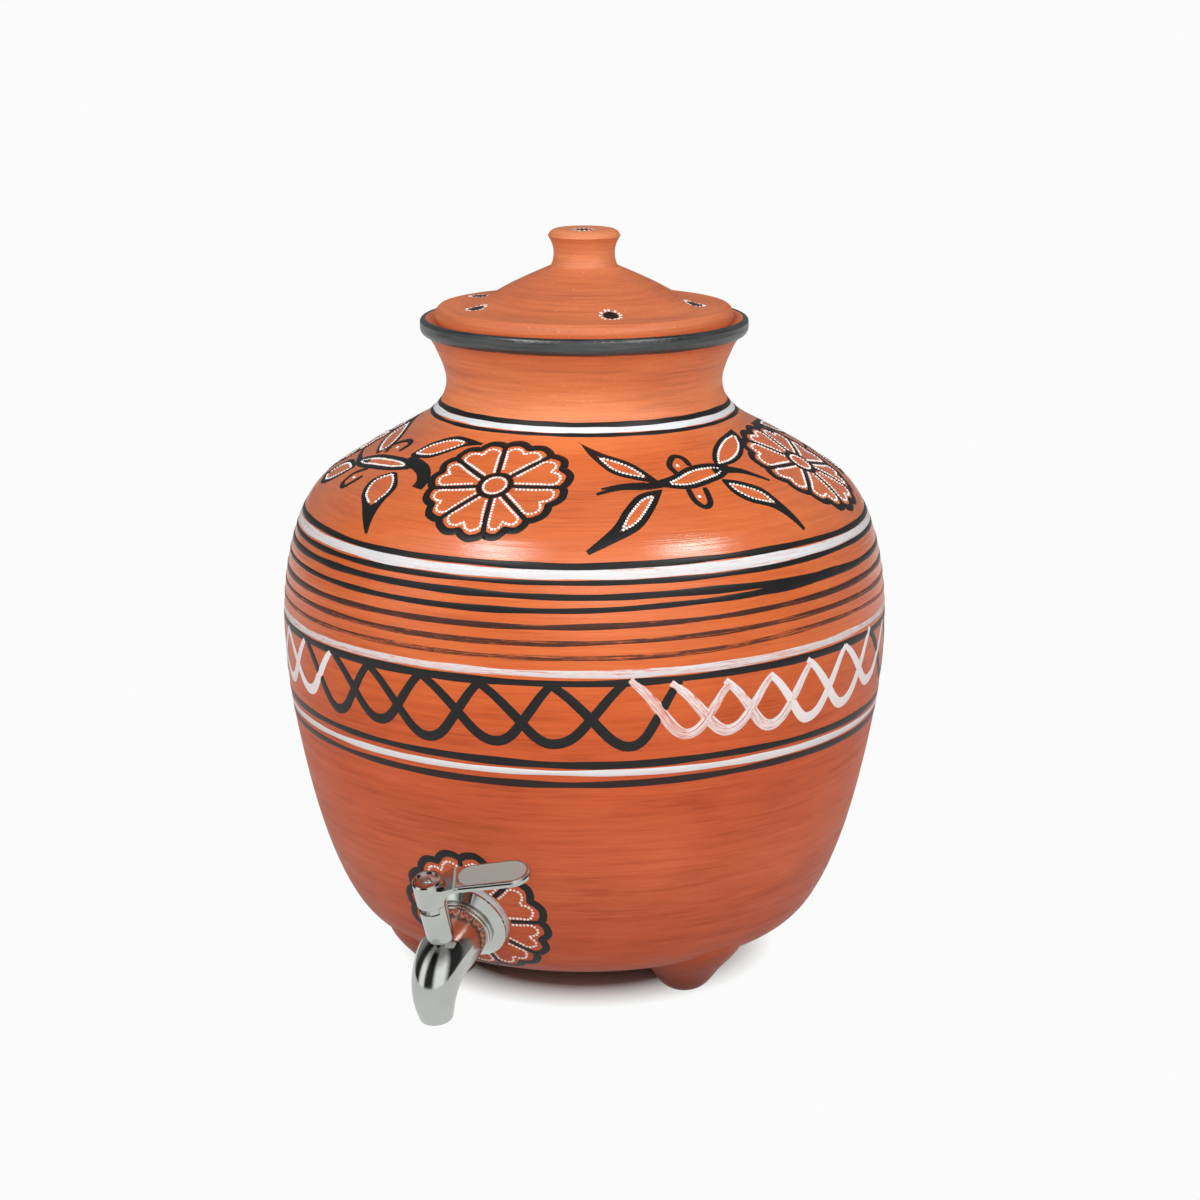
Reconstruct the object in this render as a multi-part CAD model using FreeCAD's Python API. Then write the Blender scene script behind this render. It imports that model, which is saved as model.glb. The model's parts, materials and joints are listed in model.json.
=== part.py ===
import FreeCAD, Part
import math
import os

from FreeCAD import Placement, Rotation, Vector

# A round-bellied clay water pot on four clay feet, with a lift-off clay lid and a steel
# quarter-turn tap. Millimetres, +Z up. The origin lies on the pot's own axis, in the plane that
# the feet stand on, and the tap points towards -Y.

# ---------------------------------------------------------------- pot: outside form
# The outside is one smooth curve. Each "rise" is the height from the point before it, each
# "inset" is how much smaller than the belly the pot is there, and each "spread" is how much
# wider than the waist of its neck. The rises of flank, belly and shoulder share what the
# others leave of the pot's height.
pot_height = 301.5         # ground to the crest of the lip
belly_radius = 140.0
neck_radius = 63.4         # waist of the neck
base_clearance = 7.0       # ground to the flat underside of the pot
base_inset = 80.0          # edge of the flat underside
underside_inset = 64.8
underside_rise = 6.0
haunch_inset = 48.5
haunch_rise = 5.0
heel_inset = 35.9
heel_rise = 7.0
hip_inset = 28.2
hip_rise = 10.0
flank_foot_inset = 21.1
flank_foot_rise = 15.0
flank_inset = 8.3
flank_share = 0.2885
shoulder_inset = 6.5
shoulder_share = 0.2949
brow_inset = 16.0          # the shoulder rolls over towards the neck here
brow_rise = 18.0
slope_inset = 33.2
slope_rise = 13.0
collar_spread = 22.9
collar_rise = 12.0
neck_foot_spread = 1.6
neck_foot_rise = 16.5
waist_rise = 8.0
flare_spread = 4.4
flare_rise = 13.5
lip_root_spread = 8.2      # where the flare runs into the rolled lip
lip_root_rise = 6.6

# ---------------------------------------------------------------- pot: rim
lip_swell = 3.5            # quarter round under the lip
lip_side = 2.4             # upright side of the lip
lip_round = 2.0            # rounding of the lip's outer top edge
seat_slope = 25.0          # degrees, the cone inside the lip that the lid sits on
seat_width = 7.1           # the cone, from the crest of the lip inwards
throat_drop = 14.0         # crest of the lip down to the narrow inside of the neck

# ---------------------------------------------------------------- pot: walls
wall = 9.0
neck_wall = 7.0
base_thickness = 11.0
belly_joint_rise = 6.6     # widest part up to where the shoulder is joined on the bowl
neck_joint_drop = 14.7     # waist of the neck down to where the neck is joined on the shoulder

# ---------------------------------------------------------------- feet
foot_ring_inset = 62.5     # centres of the feet, in from the belly
first_foot_turn = 61.3     # degrees round from the tap
foot_names = ("right_front_foot", "right_rear_foot", "left_rear_foot", "left_front_foot")
foot_pad_radius = 6.5
foot_shank_spread = 4.0    # spreads: out from the rim of the pad
foot_shank_height = 2.6
foot_flare_spread = 9.5
foot_flare_rise = 6.9
foot_brow_spread = 17.5    # the lug has spread on to the pot here
foot_brow_rise = 9.1
foot_head_spread = 23.5
foot_head_rise = 16.0

# ---------------------------------------------------------------- lid
lid_gap = 0.3              # air between the lid and its seat
lid_play = 4.9             # crest of the lip to the widest part of the lid
lid_edge_rise = 1.7        # that widest part, above the crest of the lip
lid_edge_tuck = 0.8        # the edge tucks in again down to the seat
lid_flange_rise = 3.3
lid_flange_inset = 2.2     # top corner of the flange, in from the widest part
lid_seat_width = 7.4       # the lid's seating cone
dome_foot_inset = 14.6     # insets: in from the widest part of the lid
dome_foot_rise = 0.4
dome_middle_inset = 27.7
dome_middle_rise = 5.5
dome_top_spread = 6.8      # out from the foot of the knob
dome_top_rise = 9.2
lid_wall = 6.0
lid_edge_wall = 4.8        # where the hollow starts, under the foot of the dome
knob_foot_radius = 15.2
knob_foot_rise = 3.0
knob_waist_radius = 14.0
knob_waist_rise = 4.4
knob_radius = 16.5
knob_edge_rise = 9.0
knob_bevel = 3.7           # the knob's top bevel, inwards
knob_bevel_rise = 3.2
knob_bevel_swell = 0.78    # how far that bevel swells beyond a straight one

# ---------------------------------------------------------------- tap: place on the pot
tap_height = 50.0          # height of the hole's centre on the outside of the wall
seat_depth = 1.5           # depth of the flat rubbed on the wall around the hole
seat_margin = 0.4          # that flat is this much larger than what bears on it
hole_clearance = 0.6

# ---------------------------------------------------------------- tap: what clamps the wall
shank_radius = 10.48       # half-inch pipe thread
thread_pitch = 1.814
thread_depth = 1.16
thread_length = 14.0
shank_spare = 4.0          # thread left beyond the nut
washer_radius = 18.7
washer_thickness = 3.5
flange_edge = 0.9          # straight edge of the wall flange
flange_thickness = 3.5
flange_step = 0.9          # the flange's front stands this much proud of the body's bead
inner_washer_radius = 16.0
inner_washer_thickness = 3.0
plate_radius = 15.0
plate_thickness = 1.5
nut_across_flats = 26.0
nut_sides = 6
nut_thickness = 7.0
nut_corner_slope = 30.0    # degrees, corners turned off on both faces
bore_clearance = 0.1       # washers and flange slide over the shank

# ---------------------------------------------------------------- tap: body
bead_radius = 13.7
bead_width = 1.6
bead_round = 0.7
groove_depth = 0.8         # between bead and body, where the shank is screwed in
groove_width = 0.5
ring_step = 0.4            # the body's ring is this much smaller than the bead
ring_width = 1.1
ring_round = 0.4
spigot_radius = 9.6        # end of the shank inside the body
spigot_length = 3.0
spigot_clearance = 0.05
barrel_step = 1.0          # the barrel is this much smaller than the bead
barrel_front_radius = 12.2
stem_reach = 26.4          # stem's axis, out from the seat on the wall
bend_lead = 1.0            # the barrel starts to turn down this far behind the stem's axis
bend_radius = 17.5
bend_angle = 80.4          # degrees
nozzle_length = 6.4
nozzle_radius = 7.3
nozzle_round = 0.9
nozzle_wall = 1.2
outlet_depth = 7.0
waterway_radius = 5.0
waterway_bend_radius = 7.0
boss_height = 0.6          # boss for the bonnet, above the barrel

# ---------------------------------------------------------------- tap: valve
ball_radius = 7.0
ball_bore_radius = 4.5
chamber_clearance = 0.3
seal_radial_clearance = 0.05
seal_ball_clearance = 0.1
seal_lap = 3.0             # how far the seal rings reach over the ball
seal_back = 0.6            # seal ring behind the ball's pole
retainer_length = 5.5
key_slot_width = 2.0
key_slot_depth = 1.5
stem_radius = 3.0
stem_clearance = 0.05
stem_collar_step = 0.9
stem_collar_lift = 1.3     # collar's underside, above the ball
stem_collar_thickness = 1.5
collar_clearance = 0.3
thrust_ring_thickness = 0.7
thrust_gap = 0.1
tang_width = 3.0
tang_length = 6.0
tang_depth = 1.6           # how deep the tang sits in the ball
tang_clearance = 0.1
lower_o_ring_lift = 3.2    # above the boss
o_ring_spacing = 4.5
o_ring_thickness = 0.96
o_ring_groove_play = 0.34
gasket_land = 1.0
gasket_thickness = 0.6

# ---------------------------------------------------------------- tap: bonnet and handle
bonnet_foot_radius = 6.0
bonnet_flare = 0.4
bonnet_length = 17.2
stop_recess_depth = 3.0
stop_wall = 1.4            # bonnet left standing around the stem inside the recess
stop_lug_width = 4.0
stop_lug_length = 2.6
stop_lug_azimuth = -56.0   # degrees from +X, handle shut
stop_play = 1.0            # degrees left between the lug and each end of its recess
handle_gap = 0.4           # between bonnet and handle
handle_turn = 90.0         # degrees from shut to open
hub_overhang = 0.2         # hub beyond the top of the bonnet
hub_length = 12.3
hub_edge = 0.6
hub_lip = 1.6              # ring left around the sunk disc
hub_recess_depth = 1.5
square_width = 4.6
square_lift = 1.2          # start of the stem's square, above the hub's underside
square_cover = 5.2         # metal left over the end of the square
square_clearance = 0.05
cap_clearance = 0.1
cap_thickness = 0.8
screw_radius = 1.5
screw_clearance = 0.03
screw_length = 14.0
screw_head_step = 0.5
screw_head_height = 0.7
screw_head_round = 0.4
cross_slot_width = 0.55
cross_slot_length = 2.4
cross_slot_depth = 0.4

# ---------------------------------------------------------------- tap: lever
lever_angle = 23.0         # degrees, how far the shut lever leans back to the wall
lever_length = 44.8        # stem's axis to tip
arm_half_width = 4.8       # at the hub
paddle_root_half_width = 7.6
paddle_half_width = 8.2
paddle_reach = 11.7        # the paddle starts this far from the stem's axis
paddle_drop = 0.7          # below the top of the hub
paddle_thickness = 2.5
paddle_chamfer = 1.0
arm_drop = 2.2             # arm's top at the hub, below the paddle's
arm_foot_rise = 1.6        # arm's underside at the hub, above the hub's
arm_hollow = 0.4           # how far that underside curves in: 0 is straight, 0.41 a quarter round
arm_level_length = 6.0     # how far the arm runs level before it ramps up
panel_margin = 1.8         # paddle's sides to the sunk panel
panel_root_margin = 1.8    # paddle's near end to the sunk panel
panel_depth = 0.35

tolerance = 0.001          # for telling edges apart
fine_tolerance = tolerance / 1e6


# ================================================================ worked out from the above
def climb(start, *rises):
    """Heights reached one after the other from a start."""
    heights = [start]
    for rise in rises:
        heights.append(heights[-1] + rise)
    return heights[1:]


lower_rises = (underside_rise, haunch_rise, heel_rise, hip_rise, flank_foot_rise)
upper_rises = (brow_rise, slope_rise, collar_rise, neck_foot_rise, waist_rise, flare_rise,
               lip_root_rise)
lip_rises = (lip_swell, lip_side, lip_round)
round_rise = pot_height - base_clearance - sum(lower_rises + upper_rises + lip_rises)
flank_rise = round_rise * flank_share
shoulder_rise = round_rise * shoulder_share
belly_rise = round_rise - flank_rise - shoulder_rise
(underside_height, haunch_height, heel_height, hip_height, flank_foot_height, flank_height,
 belly_height, shoulder_height, brow_height, slope_height, collar_height, neck_foot_height,
 waist_height, flare_height, lip_root_height) = climb(
    base_clearance, *lower_rises, flank_rise, belly_rise, shoulder_rise, *upper_rises)
belly_joint_height = belly_height + belly_joint_rise
neck_joint_height = waist_height - neck_joint_drop
lip_root_radius = neck_radius + lip_root_spread
rim_radius = lip_root_radius + lip_swell
crest_radius = rim_radius - lip_round
swell_height, side_height, crest_height = climb(lip_root_height, *lip_rises)
seat_inner_radius = crest_radius - seat_width

lid_radius = crest_radius - lid_play
(lid_edge_height, flange_height, dome_foot_height, dome_middle_height, dome_top_height,
 knob_foot_height, knob_waist_height, knob_edge_height, knob_top_height) = climb(
    crest_height, lid_edge_rise, lid_flange_rise, dome_foot_rise, dome_middle_rise, dome_top_rise,
    knob_foot_rise, knob_waist_rise, knob_edge_rise, knob_bevel_rise)

# Along the barrel, out from the flat on the wall.
inner_seat = seat_depth - wall
plate_front = inner_seat - inner_washer_thickness
nut_front = plate_front - plate_thickness
nut_rear = nut_front - nut_thickness
shank_end = nut_rear - shank_spare
flange_rear = washer_thickness
bead_rear = flange_rear + flange_thickness
groove_start = bead_rear + bead_width
ring_start = groove_start + groove_width
barrel_start = ring_start + ring_width
bend_start = stem_reach - bend_lead
chamber_front = stem_reach + ball_radius + seal_back
retainer_front = stem_reach - ball_radius - seal_back
chamber_radius = ball_radius + chamber_clearance
seal_radius = chamber_radius - seal_radial_clearance

# Up the stem, from the barrel's axis.
boss_top = barrel_front_radius + boss_height
bonnet_top = boss_top + bonnet_length
bonnet_top_radius = bonnet_foot_radius + bonnet_flare
collar_bottom = ball_radius + stem_collar_lift
collar_top = collar_bottom + stem_collar_thickness
spigot_bottom = collar_top + thrust_gap + thrust_ring_thickness + thrust_gap
collar_radius = stem_radius + stem_collar_step
cavity_radius = collar_radius + collar_clearance
gasket_radius = bonnet_foot_radius - gasket_land
lower_o_ring_height = boss_top + lower_o_ring_lift
upper_o_ring_height = lower_o_ring_height + o_ring_spacing
o_ring_radius = stem_radius + stem_clearance / 2 - o_ring_thickness / 2
hub_bottom = bonnet_top + handle_gap
hub_top = hub_bottom + hub_length
hub_radius = bonnet_top_radius + hub_overhang
hub_floor = hub_top - hub_recess_depth
cap_top = hub_floor + cap_thickness
screw_end = hub_floor - screw_length
square_bottom = hub_bottom + square_lift
square_top = hub_floor - square_cover
paddle_top = hub_top - paddle_drop
paddle_bottom = paddle_top - paddle_thickness
arm_top = paddle_top - arm_drop
arm_bottom = hub_bottom + arm_foot_rise
stop_core_radius = stem_radius + stop_wall


# ================================================================ helpers
def at(radius, height):
    """A point of a profile in the XZ plane."""
    return Vector(radius, 0, height)


def line(a, b):
    return Part.LineSegment(a, b).toShape()


def arc(a, middle, b):
    return Part.Arc(a, middle, b).toShape()


def spline(points, start_direction=None, end_direction=None):
    """A smooth curve through points, with its end directions where they matter."""
    curve = Part.BSplineCurve()
    if start_direction is None:
        curve.interpolate(points)
    else:
        curve.interpolate(Points=points, InitialTangent=start_direction, FinalTangent=end_direction)
    return curve


def revolve(edges):
    """A solid of revolution about the Z axis from the edges of a closed profile."""
    return Part.Face(Part.Wire(Part.__sortEdges__(edges))).revolve(Vector(), Vector(0, 0, 1), 360)


def outline(points):
    """Straight edges from each point to the next, closed."""
    return [line(a, b) for a, b in zip(points, points[1:] + points[:1])]


def slope(angle):
    """A direction in the XZ plane, in degrees up from +X."""
    return Vector(math.cos(math.radians(angle)), 0, math.sin(math.radians(angle)))


def cylinder(radius, start, end):
    """A round bar along +Z from one height to another."""
    return Part.makeCylinder(radius, end - start, Vector(0, 0, start))


def tube(outer, inner, start, end):
    return cylinder(outer, start, end).cut(cylinder(inner, start, end))


def box(size_x, size_y, bottom, top):
    """A block centred on the Z axis."""
    return Part.makeBox(size_x, size_y, top - bottom, Vector(-size_x / 2, -size_y / 2, bottom))


def merge(first, *others):
    return first.fuse(list(others)).removeSplitter()


# ================================================================ pot profile
def body_points():
    """The outside of the body from the flat underside up to the rolled lip."""
    return [
        at(belly_radius - base_inset, base_clearance),
        at(belly_radius - underside_inset, underside_height),
        at(belly_radius - haunch_inset, haunch_height),
        at(belly_radius - heel_inset, heel_height),
        at(belly_radius - hip_inset, hip_height),
        at(belly_radius - flank_foot_inset, flank_foot_height),
        at(belly_radius - flank_inset, flank_height),
        at(belly_radius, belly_height),
        at(belly_radius - shoulder_inset, shoulder_height),
        at(belly_radius - brow_inset, brow_height),
        at(belly_radius - slope_inset, slope_height),
        at(neck_radius + collar_spread, collar_height),
        at(neck_radius + neck_foot_spread, neck_foot_height),
        at(neck_radius, waist_height),
        at(neck_radius + flare_spread, flare_height),
        at(lip_root_radius, lip_root_height),
    ]


def body_curve():
    return spline(body_points(), slope(25), slope(55))


def inner_curve():
    """The inside from the floor to the lid's seat: the outer points moved in by the wall."""
    outer = body_curve()
    moved = []
    for point in body_points()[2:-2]:
        tangent = outer.tangent(outer.parameter(point))[0]
        thickness = wall if point.z < neck_foot_height else neck_wall
        moved.append(point + Vector(-tangent.z, 0, tangent.x) * thickness)
    floor_edge = at(belly_radius - base_inset, base_clearance + base_thickness)
    throat = at(neck_radius - neck_wall, crest_height - throat_drop)
    seat_end = at(seat_inner_radius, seat_height(seat_inner_radius))
    return spline([floor_edge] + moved + [throat, seat_end], slope(0), slope(seat_slope))


def wall_at(height):
    """The point of the outside at a height, and how far the wall leans there, in degrees."""
    curve = body_curve()
    low, high = curve.FirstParameter, curve.LastParameter
    while high - low > fine_tolerance:
        middle = (low + high) / 2
        if curve.value(middle).z < height:
            low = middle
        else:
            high = middle
    tangent = curve.tangent(low)[0]
    return curve.value(low), math.degrees(math.atan2(tangent.x, tangent.z))


def seat_height(radius):
    """Height of the lid's seat, the cone inside the lip."""
    return crest_height - (crest_radius - radius) * math.tan(math.radians(seat_slope))


def pot_envelope():
    """The pot's outside as a full solid, to shape what is luted on to it."""
    top = at(0, lip_root_height)
    bottom = at(0, base_clearance)
    return revolve([
        line(bottom, body_points()[0]),
        body_curve().toShape(),
        line(body_points()[-1], top),
        line(top, bottom),
    ])


# ================================================================ tap placement
def tap_placement():
    """From the tap's own frame, -Y out of the wall and +Z along its stem, to the pot's."""
    point, lean = wall_at(tap_height)
    inward = Vector(0, math.cos(math.radians(lean)), math.sin(math.radians(lean)))
    base = Vector(0, -point.x, point.z) + inward * seat_depth
    return Placement(base, Rotation(Vector(1, 0, 0), lean))


def along_barrel(shape):
    """Lay a shape made along +Z on the barrel's axis, so that its +Z points out of the wall."""
    return shape.transformed(Placement(Vector(), Rotation(Vector(1, 0, 0), 90)).Matrix)


def on_stem(shape):
    """Stand a shape made about the Z axis on the stem's axis."""
    return shape.transformed(Placement(Vector(0, -stem_reach, 0), Rotation()).Matrix)


def placed(shape):
    return shape.transformed(tap_placement().Matrix)


# ================================================================ clay pieces
def make_pot_shell():
    """The whole wall, from the flat underside up to the rolled lip and down the inside."""
    inside = inner_curve()
    floor_edge = inside.value(inside.FirstParameter)
    floor_centre = at(0, floor_edge.z)
    seat_end = inside.value(inside.LastParameter)
    lip_root = body_points()[-1]
    swell = at(rim_radius, swell_height)
    swell_middle = at(lip_root_radius, swell_height) + slope(-45) * lip_swell
    side_top = at(rim_radius, side_height)
    round_middle = at(crest_radius, side_height) + slope(45) * lip_round
    crest = at(crest_radius, crest_height)
    return revolve([
        line(at(0, base_clearance), body_points()[0]),
        body_curve().toShape(),
        arc(lip_root, swell_middle, swell),
        line(swell, side_top),
        arc(side_top, round_middle, crest),
        line(crest, seat_end),
        inside.toShape(),
        line(floor_edge, floor_centre),
        line(floor_centre, at(0, base_clearance)),
    ])


def pot_ring(bottom, top):
    """The wall between two heights."""
    return make_pot_shell().common(cylinder(2 * belly_radius, bottom, top))


def make_pot_bowl():
    """The lower half of the body, with a hole and two flats on its wall for the tap."""
    hole = cylinder(shank_radius + hole_clearance, inner_seat - wall, 2 * wall)
    outer_flat = cylinder(washer_radius + seat_margin, 0, 2 * wall)
    inner_flat = cylinder(inner_washer_radius + seat_margin, inner_seat - wall, inner_seat)
    cuts = [placed(along_barrel(tool)) for tool in (hole, outer_flat, inner_flat)]
    return pot_ring(0, belly_joint_height).cut(cuts)


def make_foot(azimuth):
    """A pinched lug that spreads on to the underside, so many degrees round from the tap."""
    flare_top = foot_shank_height + foot_flare_rise
    brow_top = flare_top + foot_brow_rise
    head_top = brow_top + foot_head_rise
    pad = at(foot_pad_radius, 0)
    head = at(foot_pad_radius + foot_head_spread, head_top)
    side = spline([
        pad,
        at(foot_pad_radius + foot_shank_spread, foot_shank_height),
        at(foot_pad_radius + foot_flare_spread, flare_top),
        at(foot_pad_radius + foot_brow_spread, brow_top),
        head,
    ])
    lug = revolve([line(at(0, 0), pad), side.toShape(), line(head, at(0, head_top)),
                   line(at(0, head_top), at(0, 0))])
    angle = math.radians(azimuth)
    spot = Vector(math.sin(angle), -math.cos(angle), 0) * (belly_radius - foot_ring_inset)
    return lug.transformed(Placement(spot, Rotation()).Matrix).cut(pot_envelope())


def make_lid():
    """The thrown lid: a seating flange, a hollow dome and a solid knob."""
    def seated(radius):
        return at(radius, seat_height(radius) + lid_gap)

    edge_foot = seated(lid_radius - lid_edge_tuck)
    seat_foot = seated(lid_radius - lid_edge_tuck - lid_seat_width)
    flange_corner = at(lid_radius - lid_flange_inset, flange_height)
    dome_foot = at(lid_radius - dome_foot_inset, dome_foot_height)
    dome_middle = at(lid_radius - dome_middle_inset, dome_middle_height)
    dome_top = at(knob_foot_radius + dome_top_spread, dome_top_height)
    knob_foot = at(knob_foot_radius, knob_foot_height)
    knob_edge = at(knob_radius, knob_edge_height)
    knob_top = at(knob_radius - knob_bevel, knob_top_height)
    bevel_middle = (knob_edge + knob_top) * 0.5 + slope(45) * knob_bevel_swell
    down = at(0, -lid_wall)
    hollow_top = at(0, knob_foot_height) + down
    hollow_edge = at(seat_foot.x - lid_wall, dome_foot_height - lid_edge_wall)
    dome = spline([dome_foot, dome_middle, dome_top, knob_foot], slope(174), slope(156))
    hollow = spline([hollow_edge, dome_middle + down, dome_top + down, hollow_top],
                    slope(166), slope(180))
    return revolve([
        line(at(0, knob_top_height), knob_top),
        arc(knob_top, bevel_middle, knob_edge),
        arc(knob_edge, at(knob_waist_radius, knob_waist_height), knob_foot),
        dome.toShape(),
        line(dome_foot, flange_corner),
        arc(flange_corner, at(lid_radius, lid_edge_height), edge_foot),
        line(edge_foot, seat_foot),
        line(seat_foot, hollow_edge),
        hollow.toShape(),
        line(hollow_top, at(0, knob_top_height)),
    ])


# ================================================================ tap: clamped on the wall
def make_outer_washer():
    return along_barrel(tube(washer_radius, shank_radius + bore_clearance, 0, washer_thickness))


def make_wall_flange():
    """A turned steel flange: a short straight edge, then a cone up to the body's bead."""
    bore = shank_radius + bore_clearance
    return along_barrel(revolve(outline([
        at(bore, flange_rear),
        at(washer_radius, flange_rear),
        at(washer_radius, flange_rear + flange_edge),
        at(bead_radius + flange_step, bead_rear),
        at(bore, bead_rear),
    ])))


def make_inner_washer():
    return along_barrel(tube(inner_washer_radius, shank_radius + bore_clearance, plate_front, inner_seat))


def make_plate_washer():
    return along_barrel(tube(plate_radius, shank_radius + bore_clearance, nut_front, plate_front))


def make_back_nut():
    """A hexagon nut with its corners turned off on both faces."""
    flat = nut_across_flats / 2
    corner = flat / math.cos(math.pi / nut_sides)
    turns = [2 * math.pi * number / nut_sides for number in range(nut_sides)]
    ends = [Vector(corner * math.cos(turn), corner * math.sin(turn), 0) for turn in turns]
    prism = Part.Face(Part.Wire(outline(ends))).extrude(Vector(0, 0, nut_thickness))
    prism.translate(Vector(0, 0, nut_rear))
    corner_drop = (corner - flat) * math.tan(math.radians(nut_corner_slope))
    turned = revolve(outline([
        at(0, nut_rear),
        at(flat, nut_rear),
        at(corner, nut_rear + corner_drop),
        at(corner, nut_front - corner_drop),
        at(flat, nut_front),
        at(0, nut_front),
    ]))
    bore = cylinder(shank_radius + bore_clearance, nut_rear, nut_front)
    return along_barrel(prism.common(turned).cut(bore))


# ================================================================ tap: body
def bend_point(angle):
    """A point of the spout's centre line on its bend, as (out, height)."""
    turn = math.radians(angle)
    return bend_start + bend_radius * math.sin(turn), -bend_radius * (1 - math.cos(turn))


def spout_section(out, height, angle, radius):
    """A round section of the spout, square to a centre line that dips by an angle."""
    turn = math.radians(angle)
    direction = Vector(0, -math.cos(turn), -math.sin(turn))
    return Part.Wire(Part.makeCircle(radius, Vector(0, -out, height), direction))


def nozzle_end():
    """Centre of the outlet, as (out, height)."""
    out, height = bend_point(bend_angle)
    turn = math.radians(bend_angle)
    return out + nozzle_length * math.cos(turn), height - nozzle_length * math.sin(turn)


def make_horn():
    """The outside of barrel and spout: a horn that tapers around the bend to the outlet."""
    end_out, end_height = nozzle_end()
    path = Part.Wire([
        line(Vector(0, -barrel_start, 0), Vector(0, -bend_start, 0)),
        arc(Vector(0, -bend_start, 0), *[Vector(0, -out, height) for out, height in
                                         (bend_point(bend_angle / 2), bend_point(bend_angle))]),
        line(Vector(0, -bend_point(bend_angle)[0], bend_point(bend_angle)[1]),
             Vector(0, -end_out, end_height)),
    ])
    sections = [
        spout_section(barrel_start, 0, 0, bead_radius - barrel_step),
        spout_section(bend_start, 0, 0, barrel_front_radius),
        spout_section(end_out, end_height, bend_angle, nozzle_radius),
    ]
    horn = path.makePipeShell(sections, True, False)
    tip = [edge for edge in horn.Edges
           if edge.BoundBox.Center.distanceToPoint(Vector(0, -end_out, end_height)) < nozzle_radius / 4]
    return horn.makeFillet(nozzle_round, tip)


def make_waterway():
    """The bore from the valve chamber to the outlet: along the barrel, round, and down."""
    turn = math.radians(bend_angle)
    end_out, end_height = nozzle_end()
    corner_out = end_out + end_height * math.cos(turn) / math.sin(turn)
    tangent = waterway_bend_radius * math.tan(turn / 2)
    start = Vector(0, -stem_reach, 0)
    before = Vector(0, -(corner_out - tangent), 0)
    down = Vector(0, -math.cos(turn), -math.sin(turn))
    after = Vector(0, -corner_out, 0) + down * tangent
    half = turn / 2
    middle = Vector(0, before.y - waterway_bend_radius * math.sin(half),
                    -waterway_bend_radius * (1 - math.cos(half)))
    beyond = Vector(0, -end_out, end_height) + down * nozzle_round
    path = Part.Wire([line(start, before), arc(before, middle, after), line(after, beyond)])
    section = Part.Wire(Part.makeCircle(waterway_radius, start, Vector(0, -1, 0)))
    bore = path.makePipeShell([section], True, False)
    mouth_start = Vector(0, -end_out, end_height) - down * outlet_depth
    mouth = Part.makeCylinder(nozzle_radius - nozzle_wall, outlet_depth + nozzle_round, mouth_start, down)
    return bore, mouth


def make_thread_rings():
    """Grooves at the thread's pitch around the inner end of the shank."""
    root = shank_radius - thread_depth
    rings = []
    for number in range(int(thread_length / thread_pitch)):
        start = shank_end + thread_pitch * number
        rings.append(revolve(outline([
            at(shank_radius + thread_depth, start),
            at(root, start + thread_pitch / 2),
            at(shank_radius + thread_depth, start + thread_pitch),
        ])))
    return rings


def round_edges_at(shape, height, radius):
    """Round the circular edges that lie at a height, or all of them if it is None."""
    circles = [edge for edge in shape.Edges if len(edge.Vertexes) == 1]
    chosen = [edge for edge in circles if height is None or abs(edge.BoundBox.ZMin - height) < tolerance]
    return shape.makeFillet(radius, chosen)


def make_tap_shank():
    """The threaded shank with its bead and the spigot that is screwed into the body."""
    shank = cylinder(shank_radius, shank_end, bead_rear).cut(make_thread_rings())
    bead = round_edges_at(cylinder(bead_radius, bead_rear, groove_start), None, bead_round)
    groove = cylinder(bead_radius - groove_depth, groove_start, ring_start)
    spigot = cylinder(spigot_radius, ring_start, ring_start + spigot_length)
    bore = cylinder(chamber_radius, shank_end, ring_start + spigot_length)
    return along_barrel(merge(shank, bead, groove, spigot).cut(bore))


def make_tap_body():
    """The cast body: ring, barrel and spout in one horn, boss for the bonnet, and its bores."""
    ring = cylinder(bead_radius - ring_step, ring_start, barrel_start)
    ring = along_barrel(round_edges_at(ring, barrel_start, ring_round))
    boss = on_stem(cylinder(bonnet_foot_radius, 0, boss_top))
    solid = merge(ring, make_horn(), boss)
    socket = along_barrel(cylinder(spigot_radius + spigot_clearance, ring_start,
                                   ring_start + spigot_length + spigot_clearance))
    chamber = along_barrel(cylinder(chamber_radius, ring_start, chamber_front))
    cavity = on_stem(cylinder(cavity_radius, 0, boss_top))
    gasket_seat = on_stem(cylinder(gasket_radius, boss_top - gasket_thickness, boss_top))
    return solid.cut([socket, chamber, cavity, gasket_seat, *make_waterway()])


# ================================================================ tap: valve
def make_seal(side):
    """A PTFE seal ring with a hollow that fits the ball, before (+1) or behind (-1) it."""
    near, far = sorted((side * (ball_radius - seal_lap), side * (ball_radius + seal_back)))
    ring = tube(seal_radius, ball_bore_radius, near, far)
    ring = ring.cut(Part.makeSphere(ball_radius + seal_ball_clearance))
    return along_barrel(ring.translated(Vector(0, 0, stem_reach)))


def make_seal_retainer():
    """The screwed ring that holds the seals and ball, with a slot across it for its key."""
    rear = retainer_front - retainer_length
    ring = tube(seal_radius, ball_bore_radius, rear, retainer_front)
    slot = box(2 * seal_radius, key_slot_width, rear, rear + key_slot_depth)
    return along_barrel(ring.cut(slot))


def make_valve_ball():
    """The ball, shut: its bore lies across the barrel and its slot takes the stem's tang."""
    bore = Part.makeCylinder(ball_bore_radius, 4 * ball_radius, Vector(-2 * ball_radius, 0, 0),
                             Vector(1, 0, 0))
    slot_floor = ball_radius - tang_depth - tang_clearance
    slot = box(4 * ball_radius, tang_width + 2 * tang_clearance, slot_floor, ball_radius)
    return on_stem(Part.makeSphere(ball_radius).cut([bore, slot]))


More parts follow.
